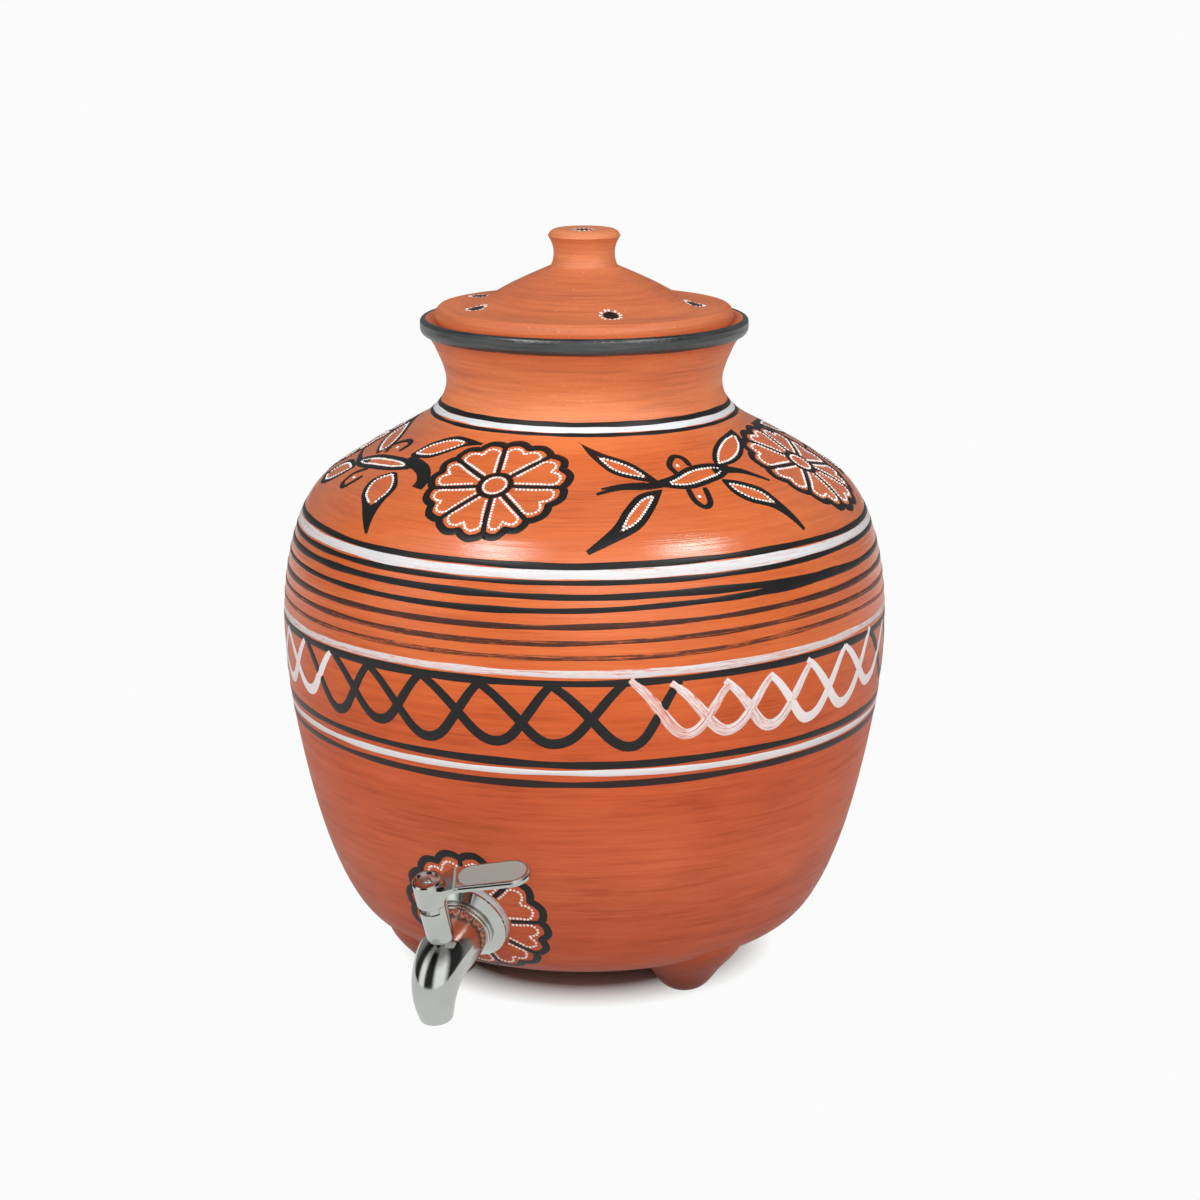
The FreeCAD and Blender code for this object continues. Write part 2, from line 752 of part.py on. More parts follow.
def make_stem():
    """Tang, collar, two grooves, a square for the handle and a hole for its screw."""
    tang = box(tang_length, tang_width, ball_radius - tang_depth, collar_bottom)
    collar = cylinder(collar_radius, collar_bottom, collar_top)
    rod = cylinder(stem_radius, collar_bottom, square_bottom)
    square = box(square_width, square_width, square_bottom, square_top)
    square = square.common(cylinder(stem_radius, square_bottom, square_top))
    groove_root = o_ring_radius - o_ring_thickness / 2
    half_groove = (o_ring_thickness + o_ring_groove_play) / 2
    grooves = [tube(2 * stem_radius, groove_root, height - half_groove, height + half_groove)
               for height in (lower_o_ring_height, upper_o_ring_height)]
    hole = cylinder(screw_radius + screw_clearance, screw_end, square_top)
    return on_stem(merge(tang, collar, rod, square).cut(grooves + [hole]))


def make_o_ring(height):
    return on_stem(Part.makeTorus(o_ring_radius, o_ring_thickness / 2, Vector(0, 0, height)))


def make_thrust_ring():
    """A PTFE ring between the stem's collar and the bonnet's spigot."""
    bottom = collar_top + thrust_gap
    return on_stem(tube(collar_radius, stem_radius + stem_clearance, bottom,
                        bottom + thrust_ring_thickness))


def make_bonnet_gasket():
    """The flat ring that seals the bonnet on the body's boss."""
    return on_stem(tube(gasket_radius, cavity_radius, boss_top - gasket_thickness, boss_top))


# ================================================================ tap: bonnet and handle
def sector(radius, start, end, bottom, top):
    """A slice of a round bar between two angles, in degrees from +X."""
    piece = Part.makeCylinder(radius, top - bottom, Vector(0, 0, bottom), Vector(0, 0, 1), end - start)
    return piece.transformed(Placement(Vector(), Rotation(Vector(0, 0, 1), start)).Matrix)


def lug_half_angle():
    return math.degrees(math.asin(stop_lug_width / 2 / bonnet_top_radius))


def make_bonnet():
    """The screwed sleeve around the stem, with a recess in its top that stops the handle."""
    sleeve = revolve(outline([
        at(0, boss_top),
        at(bonnet_foot_radius, boss_top),
        at(bonnet_top_radius, bonnet_top),
        at(0, bonnet_top),
    ]))
    spigot = cylinder(cavity_radius - stem_clearance, spigot_bottom, boss_top)
    bore = cylinder(stem_radius + stem_clearance, spigot_bottom, bonnet_top)
    swing = lug_half_angle() + stop_play
    recess = sector(2 * bonnet_top_radius, stop_lug_azimuth - handle_turn - swing,
                    stop_lug_azimuth + swing, bonnet_top - stop_recess_depth, bonnet_top)
    recess = recess.cut(cylinder(stop_core_radius - handle_gap, 0, bonnet_top))
    return on_stem(merge(sleeve, spigot).cut([bore, recess]))


def paddle_plan(inset):
    """The paddle in plan, pulled in by an inset: straight sides and a round tip."""
    root = paddle_root_half_width - inset
    half = paddle_half_width - inset
    start = paddle_reach + inset
    tip = lever_length - paddle_half_width
    near_left, near_right = Vector(start, -root, 0), Vector(start, root, 0)
    far_left, far_right = Vector(tip, -half, 0), Vector(tip, half, 0)
    return Part.Wire([
        line(near_left, far_left),
        arc(far_left, Vector(tip + half, 0, 0), far_right),
        line(far_right, near_right),
        line(near_right, near_left),
    ])


def panel_plan():
    """The sunk panel in plan: straight sides and two round ends."""
    half = paddle_half_width - panel_margin
    start = paddle_reach + panel_root_margin + half
    end = lever_length - paddle_half_width
    return Part.Wire([
        line(Vector(start, -half, 0), Vector(end, -half, 0)),
        arc(Vector(end, -half, 0), Vector(end + half, 0, 0), Vector(end, half, 0)),
        line(Vector(end, half, 0), Vector(start, half, 0)),
        arc(Vector(start, half, 0), Vector(start - half, 0, 0), Vector(start, -half, 0)),
    ])


def make_paddle():
    """The flat end of the lever, chamfered around its top, with a shallow sunk panel."""
    waist = paddle_top - paddle_chamfer
    lower = Part.Face(paddle_plan(0).translated(Vector(0, 0, paddle_bottom)))
    lower = lower.extrude(Vector(0, 0, waist - paddle_bottom))
    upper = Part.makeLoft([paddle_plan(0).translated(Vector(0, 0, waist)),
                           paddle_plan(paddle_chamfer).translated(Vector(0, 0, paddle_top))], True)
    panel = Part.Face(panel_plan().translated(Vector(0, 0, paddle_top)))
    return merge(lower, upper).cut(panel.extrude(Vector(0, 0, -panel_depth)))


def make_arm():
    """The neck of the lever: almost as tall as the hub, and drawn up thin to the paddle."""
    end = paddle_reach + 2 * paddle_chamfer
    foot = at(arm_level_length, arm_bottom)
    tip = at(end, paddle_bottom)
    chord_middle = (foot + tip) * 0.5
    hollow = chord_middle + (at(foot.x, tip.z) - chord_middle) * arm_hollow
    upper = outline([
        tip,
        at(end, paddle_top - panel_depth),
        at(paddle_reach, paddle_top - panel_depth),
        at(arm_level_length, arm_top),
        at(0, arm_top),
        at(0, arm_bottom),
        foot,
    ])
    side = Part.Face(Part.Wire([arc(foot, hollow, tip), *upper[:-1]]))
    block = side.extrude(Vector(0, 4 * paddle_half_width, 0))
    block.translate(Vector(0, -2 * paddle_half_width, 0))
    plan = Part.Face(Part.Wire(outline([
        Vector(0, -arm_half_width, 0),
        Vector(end, -paddle_root_half_width, 0),
        Vector(end, paddle_root_half_width, 0),
        Vector(0, arm_half_width, 0),
    ]))).extrude(Vector(0, 0, paddle_top))
    return block.common(plan)


def make_handle():
    """Hub, lever and stop lug in one piece, with a square socket for the stem."""
    hub = cylinder(hub_radius, hub_bottom, hub_top)
    rim = [edge for edge in hub.Edges if len(edge.Vertexes) == 1 and edge.BoundBox.ZMin > hub_floor]
    hub = hub.makeChamfer(hub_edge, rim)
    lever = merge(make_arm(), make_paddle())
    lever = lever.transformed(Placement(Vector(), Rotation(Vector(0, 0, 1), lever_angle)).Matrix)
    lug = sector(bonnet_top_radius, stop_lug_azimuth - lug_half_angle(),
                 stop_lug_azimuth + lug_half_angle(), hub_bottom - stop_lug_length, hub_bottom)
    lug = lug.cut(cylinder(stop_core_radius, 0, hub_bottom))
    recess = cylinder(hub_radius - hub_lip, hub_floor, hub_top)
    socket_width = square_width + 2 * square_clearance
    socket = box(socket_width, socket_width, hub_bottom, square_top + handle_gap)
    mouth = cylinder(stem_radius + square_clearance, hub_bottom, square_bottom + handle_gap)
    screw_way = cylinder(screw_radius + square_clearance, hub_bottom, hub_top)
    return on_stem(merge(hub, lever, lug).cut([recess, socket, mouth, screw_way]))


def make_handle_cap():
    """The plain disc under the screw's head."""
    return on_stem(tube(hub_radius - hub_lip - cap_clearance, screw_radius + square_clearance,
                        hub_floor, cap_top))


def make_handle_screw():
    """A cross-slotted screw that draws the handle down on the stem."""
    top = cap_top + screw_head_height
    head = cylinder(screw_radius + screw_head_step, cap_top, top)
    head = round_edges_at(head, top, screw_head_round)
    slots = [box(cross_slot_length, cross_slot_width, top - cross_slot_depth, top),
             box(cross_slot_width, cross_slot_length, top - cross_slot_depth, top)]
    shaft = cylinder(screw_radius, screw_end, cap_top)
    return on_stem(merge(head, shaft).cut(slots))


# ================================================================ build
def main():
    os.makedirs("parts", exist_ok=True)
    pieces = {
        "pot_bowl": make_pot_bowl(),
        "pot_shoulder": pot_ring(belly_joint_height, neck_joint_height),
        "pot_neck": pot_ring(neck_joint_height, 2 * crest_height),
        "lid": make_lid(),
    }
    for number, name in enumerate(foot_names):
        pieces[name] = make_foot(first_foot_turn + number * 360 / len(foot_names))
    tap_pieces = {
        "tap_shank": make_tap_shank(),
        "tap_body": make_tap_body(),
        "outer_washer": make_outer_washer(),
        "wall_flange": make_wall_flange(),
        "inner_washer": make_inner_washer(),
        "plate_washer": make_plate_washer(),
        "back_nut": make_back_nut(),
        "front_seal": make_seal(1),
        "rear_seal": make_seal(-1),
        "seal_retainer": make_seal_retainer(),
        "valve_ball": make_valve_ball(),
        "valve_stem": make_stem(),
        "lower_o_ring": make_o_ring(lower_o_ring_height),
        "upper_o_ring": make_o_ring(upper_o_ring_height),
        "thrust_ring": make_thrust_ring(),
        "bonnet_gasket": make_bonnet_gasket(),
        "bonnet": make_bonnet(),
        "tap_handle": make_handle(),
        "handle_cap": make_handle_cap(),
        "handle_screw": make_handle_screw(),
    }
    pieces.update({name: placed(shape) for name, shape in tap_pieces.items()})
    for name, shape in pieces.items():
        shape.exportStep(f"parts/{name}.step")
        extent = shape.BoundBox
        print(f"{name:16s} solids {len(shape.Solids)} valid {shape.isValid()} "
              f"volume {shape.Volume / 1000:9.3f} cm3  z {extent.ZMin:7.2f} to {extent.ZMax:7.2f}")
    place = tap_placement()
    stem = place.multVec(Vector(0, -stem_reach, 0))
    up = place.Rotation.multVec(Vector(0, 0, 1))
    print("stem axis through", [round(v, 5) for v in stem], "direction", [round(v, 6) for v in up])


main()
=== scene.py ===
# %% [markdown]
# # A painted clay water pot with a tap
#
# This pot is fired terracotta. A potter throws and beats the body, burnishes it with a stone,
# and paints it with black and white slip on a slow wheel. Low on its wall sits a polished steel
# quarter-turn tap.
#
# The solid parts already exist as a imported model, the frame. Nothing here moves or reshapes
# them. This lesson gives them their finishes, lays the painting on the clay as thin skins of
# slip, and sets up a small photo studio around the pot.

# %% Load the frame
import json
import math
import random

import bpy
import numpy as np
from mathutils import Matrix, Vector


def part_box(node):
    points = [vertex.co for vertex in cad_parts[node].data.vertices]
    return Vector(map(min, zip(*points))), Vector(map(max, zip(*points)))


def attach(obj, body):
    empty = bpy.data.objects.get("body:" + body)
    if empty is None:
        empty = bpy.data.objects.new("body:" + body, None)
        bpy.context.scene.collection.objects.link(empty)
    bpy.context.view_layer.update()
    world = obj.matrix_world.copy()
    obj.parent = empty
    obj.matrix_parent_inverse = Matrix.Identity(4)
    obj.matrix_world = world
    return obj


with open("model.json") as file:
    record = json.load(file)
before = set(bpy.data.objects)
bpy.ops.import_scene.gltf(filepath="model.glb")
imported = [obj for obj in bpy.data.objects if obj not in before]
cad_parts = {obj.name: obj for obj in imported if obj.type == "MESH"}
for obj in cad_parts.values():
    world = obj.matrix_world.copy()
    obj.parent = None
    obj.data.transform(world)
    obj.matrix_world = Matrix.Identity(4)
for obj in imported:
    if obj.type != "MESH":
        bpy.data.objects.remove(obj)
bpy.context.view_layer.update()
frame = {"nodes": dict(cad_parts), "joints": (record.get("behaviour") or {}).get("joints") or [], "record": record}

nodes = frame["nodes"]
print("parts in the frame:", len(nodes))

# %% [markdown]
# ## Sizes
#
# Blender works in metres here, while a potter thinks in millimetres, so one constant converts
# between them. The main heights and radii come from the parts themselves. Read that way, they
# stay right if the solid model ever changes.

# %% Sizes read from the parts
MM = 0.001
bowl_low, bowl_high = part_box("pot_bowl")
_, neck_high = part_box("pot_neck")
_, lid_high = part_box("lid")
rim_top = neck_high.z
rim_radius = neck_high.x
belly_radius = bowl_high.x
print(f"belly radius {belly_radius / MM:.1f} mm, rim at {rim_top / MM:.1f} mm")


def clay_parts():
    return [part["node"] for part in frame["record"]["subparts"] if part["material_slot"] == "clay"]


print("clay parts:", clay_parts())

# %% [markdown]
# ## A small kit for finishes and new pieces
#
# A finish in Blender is a graph of nodes that ends in a Principled shader. Written out node by
# node it gets long, so one class holds short ways to add and link nodes, and a second one adds
# what only a finish needs: places on the part, noise, relief. The first class serves the world
# further down as well. Every colour is written as it looks on screen and converted to the linear
# values that Blender calculates with. Two functions put new pieces into the scene.


# %% Helpers for finishes
def linear(red, green, blue):
    """Screen colour, 0 to 255, to the linear colour that a shader wants."""
    channels = []
    for value in (red, green, blue):
        share = value / 255
        low = share <= 0.04045
        channels.append(share / 12.92 if low else ((share + 0.055) / 1.055) ** 2.4)
    return (*channels, 1.0)


class Graph:
    """A node tree, with short ways to add nodes to it."""

    def __init__(self, tree):
        self.tree = tree

    def node(self, kind, **settings):
        made = self.tree.nodes.new("ShaderNode" + kind)
        for name, value in settings.items():
            setattr(made, name, value)
        return made

    def link(self, source, target):
        self.tree.links.new(source, target)

    def math(self, operation, first, second):
        """Arithmetic on two values, each a socket or a number."""
        step = self.node("Math", operation=operation)
        for number, value in enumerate((first, second)):
            if isinstance(value, (int, float)):
                step.inputs[number].default_value = value
            else:
                self.link(value, step.inputs[number])
        return step.outputs["Value"]

    def spread(self, value, low, high, bottom=0.0, top=1.0):
        """Stretch a value from low..high to bottom..top, and hold it there."""
        stretch = self.node("MapRange", clamp=True)
        self.link(value, stretch.inputs["Value"])
        for name, number in (("From Min", low), ("From Max", high), ("To Min", bottom), ("To Max", top)):
            stretch.inputs[name].default_value = number
        return stretch.outputs["Result"]

    def ramp(self, value, stops):
        """Look a value up in a row of (position, linear colour) stops."""
        table = self.node("ValToRGB")
        row = table.color_ramp.elements
        for number, (position, colour) in ((0, stops[0]), (1, stops[-1])):
            row[number].position, row[number].color = position, colour
        for position, colour in stops[1:-1]:
            row.new(position).color = colour
        self.link(value, table.inputs["Fac"])
        return table.outputs["Color"]

    def mix(self, share, first, second, how="MIX"):
        """From the first colour to the second by a share. Colours are sockets or values."""
        blend = self.node("Mix", data_type="RGBA", blend_type=how)
        if isinstance(share, float):
            blend.inputs["Factor"].default_value = share
        else:
            self.link(share, blend.inputs["Factor"])
        for number, colour in ((6, first), (7, second)):
            if isinstance(colour, tuple):
                blend.inputs[number].default_value = colour
            else:
                self.link(colour, blend.inputs[number])
        return blend.outputs[2]

    def blend(self, share, first, second):
        """From the first shader to the second by a share."""
        both = self.node("MixShader")
        for socket, source in zip(both.inputs, (share, first, second)):
            self.link(source, socket)
        return both.outputs["Shader"]


class Finish(Graph):
    """One material, its node tree and its Principled shader."""

    def __init__(self, name, roughness, **sockets):
        self.material = bpy.data.materials.new(name)
        self.material.use_nodes = True
        super().__init__(self.material.node_tree)
        self.shader = self.tree.nodes["Principled BSDF"]
        self.shader.inputs["Roughness"].default_value = roughness
        for socket, value in sockets.items():
            self.shader.inputs[socket.replace("_", " ")].default_value = value

    def place(self, scale, source=None):
        """Coordinates on the part, stretched by a scale along each axis."""
        if source is None:
            source = self.node("TexCoord").outputs["Object"]
        mapping = self.node("Mapping")
        mapping.inputs["Scale"].default_value = scale
        self.link(source, mapping.inputs["Vector"])
        return mapping.outputs["Vector"]

    def apart(self):
        """East, north, height and distance from the pot's axis, as four separate values."""
        split = self.node("SeparateXYZ")
        self.link(self.node("TexCoord").outputs["Object"], split.inputs["Vector"])
        east, north, height = (split.outputs[axis] for axis in "XYZ")
        squares = self.math("ADD", self.math("MULTIPLY", east, east), self.math("MULTIPLY", north, north))
        return east, north, height, self.math("SQRT", squares, 0.0)

    def wheel(self, scale):
        """Coordinates whose third axis climbs the wall from ring to ring, also where it is flat."""
        east, north, height, radius = self.apart()
        climb = self.node("CombineXYZ")
        rung = self.math("SUBTRACT", height, self.math("MULTIPLY", radius, 0.5))
        for axis, value in zip("XYZ", (east, north, rung)):
            self.link(value, climb.inputs[axis])
        return self.place(scale, climb.outputs["Vector"])

    def noise(self, where, detail=3.0, roughness=0.55):
        """A soft random field between 0 and 1."""
        field = self.node("TexNoise")
        field.inputs["Scale"].default_value = 1.0
        field.inputs["Detail"].default_value = detail
        field.inputs["Roughness"].default_value = roughness
        self.link(where, field.inputs["Vector"])
        return field.outputs["Fac"]

    def bump(self, height, depth, before=None):
        """Small relief: a height field, its depth in metres, on top of earlier relief."""
        relief = self.node("Bump")
        relief.inputs["Distance"].default_value = depth
        self.link(height, relief.inputs["Height"])
        if before is not None:
            self.link(before, relief.inputs["Normal"])
        return relief.outputs["Normal"]

    def feed(self, socket, source):
        """Let a value drive one of the shader's sockets."""
        self.link(source, self.shader.inputs[socket])

    def fed(self, socket):
        """What drives one of the shader's sockets."""
        return self.shader.inputs[socket].links[0].from_socket

    def lay_over(self, mask, socket, number):
        """Lay a number over what drives one of the shader's sockets, by a mask."""
        layered = self.node("Mix", data_type="FLOAT")
        self.link(mask, layered.inputs["Factor"])
        self.link(self.fed(socket), layered.inputs["A"])
        layered.inputs["B"].default_value = number
        self.feed(socket, layered.outputs["Result"])

    def lay_colour_over(self, mask, colour):
        """The same for the shader's colour."""
        self.feed("Base Color", self.mix(mask, self.fed("Base Color"), colour))

    def wear(self, part):
        """Give this finish to one of the frame's parts or to a new piece."""
        part.data.materials.clear()
        part.data.materials.append(self.material)


def add(name, data):
    """Put a new object into the scene."""
    made = bpy.data.objects.new(name, data)
    bpy.context.scene.collection.objects.link(made)
    return made


def add_mesh(name, corners, faces):
    """Put a new mesh object into the scene."""
    mesh = bpy.data.meshes.new(name)
    mesh.from_pydata(corners, [], faces)
    return add(name, mesh)


print("helpers ready")

# %% [markdown]
# ## Burnished terracotta
#
# The clay is brick red, a little more orange towards the top and lighter again on the knob. Its
# colour by height also holds painted light: it turns darker and browner towards the floor as
# painted shade under the pot, and brighter on the neck as a painted highlight. Turning leaves
# fine rings around it, and the burnishing stone leaves paler strokes and a soft sheen. Neck and
# lid were left coarser, with pale grit in them. A picture wrapped around the pot would need a
# layout of its surface. Noise that is stretched along the wheel's rings needs none, and it fits
# every clay part.

# %% Terracotta
# height on the pot in millimetres, and the colour there: the clay's own, darkened near the floor
# as painted shade and brightened on the neck as painted light
CLAY_AND_PAINTED_LIGHT_BY_HEIGHT = (
    (0, (120, 60, 40)), (16, (152, 77, 52)), (32, (188, 98, 66)), (70, (204, 108, 72)),
    (110, (203, 100, 62)), (150, (207, 102, 55)), (178, (216, 112, 58)), (250, (216, 109, 55)),
    (262, (229, 131, 75)), (292, (229, 131, 75)), (297, (214, 117, 64)), (307, (212, 114, 62)),
    (312, (203, 105, 57)), (322, (205, 109, 61)), (329, (218, 127, 76)), (341, (220, 129, 79)),
)
HIGHEST = 350     # where the ramp of those colours ends, above the knob
CLAY_FLECK = linear(240, 168, 128)
CLAY_PIT = linear(150, 62, 36)
GRAIN_SCALE = (620, 620, 760)
# three sizes of unevenness: scale of the noise per metre, its detail and roughness, the stretch
# of it that counts, and its weight
PATCHES = ((13, 13, 26), 4, 0.55, 0.33, 0.68, 0.34)
STREAKS = ((40, 40, 1100), 4, 0.7, 0.34, 0.70, 0.36)
SWEEPS = ((16, 16, 330), 3, 0.6, 0.33, 0.70, 0.30)
# what they do to the colour together: darker and redder, or paler
TONES = ((0.12, (0.72, 0.64, 0.68, 1.0)), (0.36, (0.92, 0.88, 0.90, 1.0)), (0.56, (1.0, 1.0, 1.0, 1.0)),
         (0.90, (1.10, 1.26, 1.36, 1.0)))
# heights between which the clay goes from dull to smooth, and from matt to shiny
SMOOTHER = (110 * MM, 200 * MM)
SHINIER = (160 * MM, 225 * MM)


def clay_colour(finish, grit=0.35):
    """The clay's colour: by height, which holds painted shade and light, with broad patches, wheel streaks and
    pale flecks.
    """
    height = finish.apart()[2]
    # the ramp by height holds painted shade near the floor and painted light on the neck
    fired_and_painted_light = finish.ramp(finish.math("DIVIDE", height, HIGHEST * MM),
                        [(level / HIGHEST, linear(*colour)) for level, colour in CLAY_AND_PAINTED_LIGHT_BY_HEIGHT])
    tone = 0.0
    for way, unevenness in ((finish.place, PATCHES), (finish.wheel, STREAKS), (finish.wheel, SWEEPS)):
        scale, detail, roughness, low, high, weight = unevenness
        field = finish.spread(finish.noise(way(scale), detail, roughness), low, high)
        tone = finish.math("ADD", tone, finish.math("MULTIPLY", field, weight))
    toned = finish.mix(1.0, fired_and_painted_light, finish.ramp(tone, TONES), "MULTIPLY")
    grains = finish.noise(finish.place(GRAIN_SCALE), 2, 0.7)
    pale = finish.spread(grains, 0.78 - 0.15 * grit, 0.82 - 0.13 * grit)
    dark = finish.spread(grains, 0.28 + 0.08 * grit, 0.22 + 0.08 * grit)
    speckled = finish.mix(finish.math("MULTIPLY", pale, 0.3 + 0.5 * grit), toned, CLAY_FLECK)
    return finish.mix(finish.math("MULTIPLY", dark, 0.25 * grit), speckled, CLAY_PIT)


def clay_relief(finish, grit):
    """Wheel rings, long shallow burnishing marks and grit."""
    rings = finish.noise(finish.wheel((7, 7, 420 - 180 * grit)), 3, 0.6)
    marks = finish.noise(finish.place((22, 22, 120)), 3)
    grains = finish.noise(finish.place((1100, 1100, 1100)), 3)
    relief = finish.bump(rings, 0.00016 + 0.00050 * grit)
    relief = finish.bump(marks, 0.0003, relief)
    return finish.bump(grains, 0.00004 + 0.00008 * grit, relief)


def turned_clay(name, grit, smooth, rough):
    """Clay whose roughness wanders between smooth and rough. Low on the pot it is duller."""
    finish = Finish(name, smooth)
    finish.feed("Base Color", clay_colour(finish, grit))
    finish.feed("Normal", clay_relief(finish, grit))
    height = finish.apart()[2]
    sheen = finish.spread(finish.noise(finish.wheel((18, 18, 160)), 3), 0.3, 0.7, smooth, rough)
    duller = finish.spread(height, *SMOOTHER, 0.18, 0.0)
    finish.feed("Roughness", finish.math("ADD", sheen, duller))
    finish.feed("Specular IOR Level", finish.spread(height, *SHINIER, 0.16, 0.95))
    return finish


burnished = turned_clay("burnished clay", 0.2, 0.22, 0.31)
coarse = turned_clay("coarse clay", 0.75, 0.56, 0.70)
for name in clay_parts():
    (coarse if name == "lid" else burnished).wear(nodes[name])
print("terracotta on", len(clay_parts()), "parts")

# %% [markdown]
# ## The black rim
#
# The rolled lip is dipped in black up to its crest, and the clay shows again on the slope where
# the lid sits. Paint on a whole lip has no edge to model, so it is a mask in the neck's own
# finish: everything above one height and outside one radius turns black. A little noise in the
# height makes the lower edge a hand-painted one.

# %% Black rim
BLACK_SLIP = linear(22, 25, 26)
# a paler, bluish grey in the black: partly wear, partly painted sheen
BLACK_WEAR_AND_SHEEN = linear(60, 66, 68)
BARE_CLAY = linear(176, 150, 132)
RIM_GLOSS = 0.36
rim_paint_height = rim_top - 7.6 * MM
rim_paint_radius = rim_radius - 2.6 * MM
rim_sway = 2.0 * MM        # how far the painted edge wanders up and down
brush_edge = 0.1 * MM      # how soft that edge is


def black_rimmed_clay():
    finish = turned_clay("coarse clay with a black rim", 0.8, 0.50, 0.64)
    height, radius = finish.apart()[2:]
    sway = finish.math("MULTIPLY", finish.noise(finish.place((40, 40, 40)), 3), rim_sway)
    above = finish.math("SUBTRACT", finish.math("ADD", height, sway), rim_paint_height + rim_sway / 2)
    outside = finish.math("SUBTRACT", radius, rim_paint_radius)
    mask = finish.math("MULTIPLY", finish.spread(above, -brush_edge, brush_edge),
                       finish.spread(outside, -brush_edge, brush_edge))
    # streaks of that grey through the black, partly wear and partly painted sheen
    wear_and_sheen = finish.spread(finish.noise(finish.place((60, 60, 900)), 4, 0.7), 0.36, 0.72)
    black = finish.mix(wear_and_sheen, BLACK_SLIP, BLACK_WEAR_AND_SHEEN)
    chips = finish.spread(finish.noise(finish.place((260, 260, 420)), 3, 0.7), 0.735, 0.76)
    finish.lay_colour_over(mask, finish.mix(chips, black, BARE_CLAY))
    finish.lay_over(mask, "Roughness", RIM_GLOSS)
    return finish


black_rimmed_clay().wear(nodes["pot_neck"])
print(f"rim black above {rim_paint_height / MM:.1f} mm")

# %% [markdown]
# ## Steel, silicone and rubber
#
# The tap is stainless steel, polished to a mirror outside. What makes polished metal look real
# is what it mirrors, plus the faint haze of the polishing wheel, so its roughness is low and
# slightly uneven. The turned pieces inside the pot are duller. Both carry very fine scratches.
# The seals are pale silicone, white PTFE and black nitrile rubber.

# %% Steel
POLISHED = linear(208, 210, 206)


def steel(name, colour, low, high, grain):
    """Stainless steel whose roughness wanders between low and high."""
    finish = Finish(name, low, Metallic=1.0)
    haze = finish.noise(finish.place((grain, grain, grain)), 4, 0.65)
    finish.feed("Roughness", finish.spread(haze, 0.3, 0.7, low, high))
    tint = finish.spread(finish.noise(finish.place((60, 60, 60)), 2), 0.3, 0.7)
    dull = tuple(0.9 * channel for channel in colour[:3]) + (1.0,)
    finish.feed("Base Color", finish.mix(tint, colour, dull))
    scratches = finish.noise(finish.place((900, 900, 9000)), 2)
    finish.feed("Normal", finish.bump(scratches, 0.000004))
    return finish


def soft_ring(name, colour, shade, roughness, **sockets):
    """A moulded ring: even colour, a touch of dust and a fine skin texture."""
    finish = Finish(name, roughness, **sockets)
    dust = finish.spread(finish.noise(finish.place((220, 220, 220)), 4), 0.35, 0.75)
    finish.feed("Base Color", finish.mix(dust, colour, shade))
    finish.feed("Normal", finish.bump(finish.noise(finish.place((2600, 2600, 2600)), 2), 0.00002))
    return finish


finishes = {
    "polished_steel": steel("polished steel", POLISHED, 0.07, 0.13, 160),
    "plain_steel": steel("turned steel", linear(200, 200, 198), 0.24, 0.38, 420),
    "silicone": soft_ring("silicone", linear(198, 201, 204), linear(178, 182, 187), 0.42,
                          Subsurface_Weight=0.25, Subsurface_Scale=0.002),
    "o_ring_rubber": soft_ring("nitrile rubber", linear(24, 24, 25), linear(46, 46, 46), 0.6),
    "ptfe": soft_ring("ptfe", linear(238, 238, 234), linear(222, 223, 220), 0.35),
}
for part in frame["record"]["subparts"]:
    if part["material_slot"] in finishes:
        finishes[part["material_slot"]].wear(nodes[part["node"]])
print("finishes for the tap:", ", ".join(finishes))

# %% [markdown]
# The lever is polished all over except for its sunk panel, which is brushed to a satin. Brushed
# steel scatters so much light that it looks half like grey paint, so there the finish is only
# partly metal. The panel's floor lies at one height along the stem, so the satin is a mask in the
# lever's own finish: a thin slice square to the axis that the handle turns on.

# %% Satin panel in the lever
SATIN = linear(206, 222, 216)
SATIN_ROUGHNESS, SATIN_METAL = 0.50, 0.25
handle_joint = next(joint for joint in frame["joints"] if joint["name"] == "handle_turn")
stem_axis = -Vector(handle_joint["axis"]).normalized()
panel_below_hub = 1.05 * MM
panel_slice = (0.10 * MM, 0.14 * MM)     # how far from the panel's floor the satin fades out
hub_top = max(corner.co.dot(stem_axis) for corner in nodes["tap_handle"].data.vertices)


def satin_panelled_steel():
    finish = steel("polished steel with a satin panel", POLISHED, 0.08, 0.14, 160)
    along = finish.node("VectorMath", operation="DOT_PRODUCT")
    along.inputs[1].default_value = stem_axis
    finish.link(finish.node("TexCoord").outputs["Object"], along.inputs[0])
    above_floor = finish.math("SUBTRACT", along.outputs["Value"], hub_top - panel_below_hub)
    off = finish.math("ABSOLUTE", above_floor, 0.0)
    panel = finish.spread(off, *panel_slice, 1.0, 0.0)
    finish.lay_over(panel, "Roughness", SATIN_ROUGHNESS)
    finish.feed("Metallic", finish.spread(off, *panel_slice, SATIN_METAL, 1.0))
    finish.lay_colour_over(panel, SATIN)
    return finish


satin_panelled_steel().wear(nodes["tap_handle"])
print(f"panel floor {(hub_top - panel_below_hub) / MM:.1f} mm along the stem")

# %% [markdown]
# ## The outline to paint on
#
# A decorator turns the pot on a wheel and paints on its wall. To do the same, the script needs
# the wall's outline. Pot and lid are bodies of revolution, and every corner of their meshes lies
# on the true surface, so the outline is the set of outward-facing corners, sorted by height. On
# the lid, which lies almost flat, corners that face up belong to it too. The distance along that
# outline is "up", and the angle from the tap is "around": together they are the two directions
# of a brush on the wall.

# %% Walls
FACING = 0.05     # how far a corner's normal must lean outward, or upward


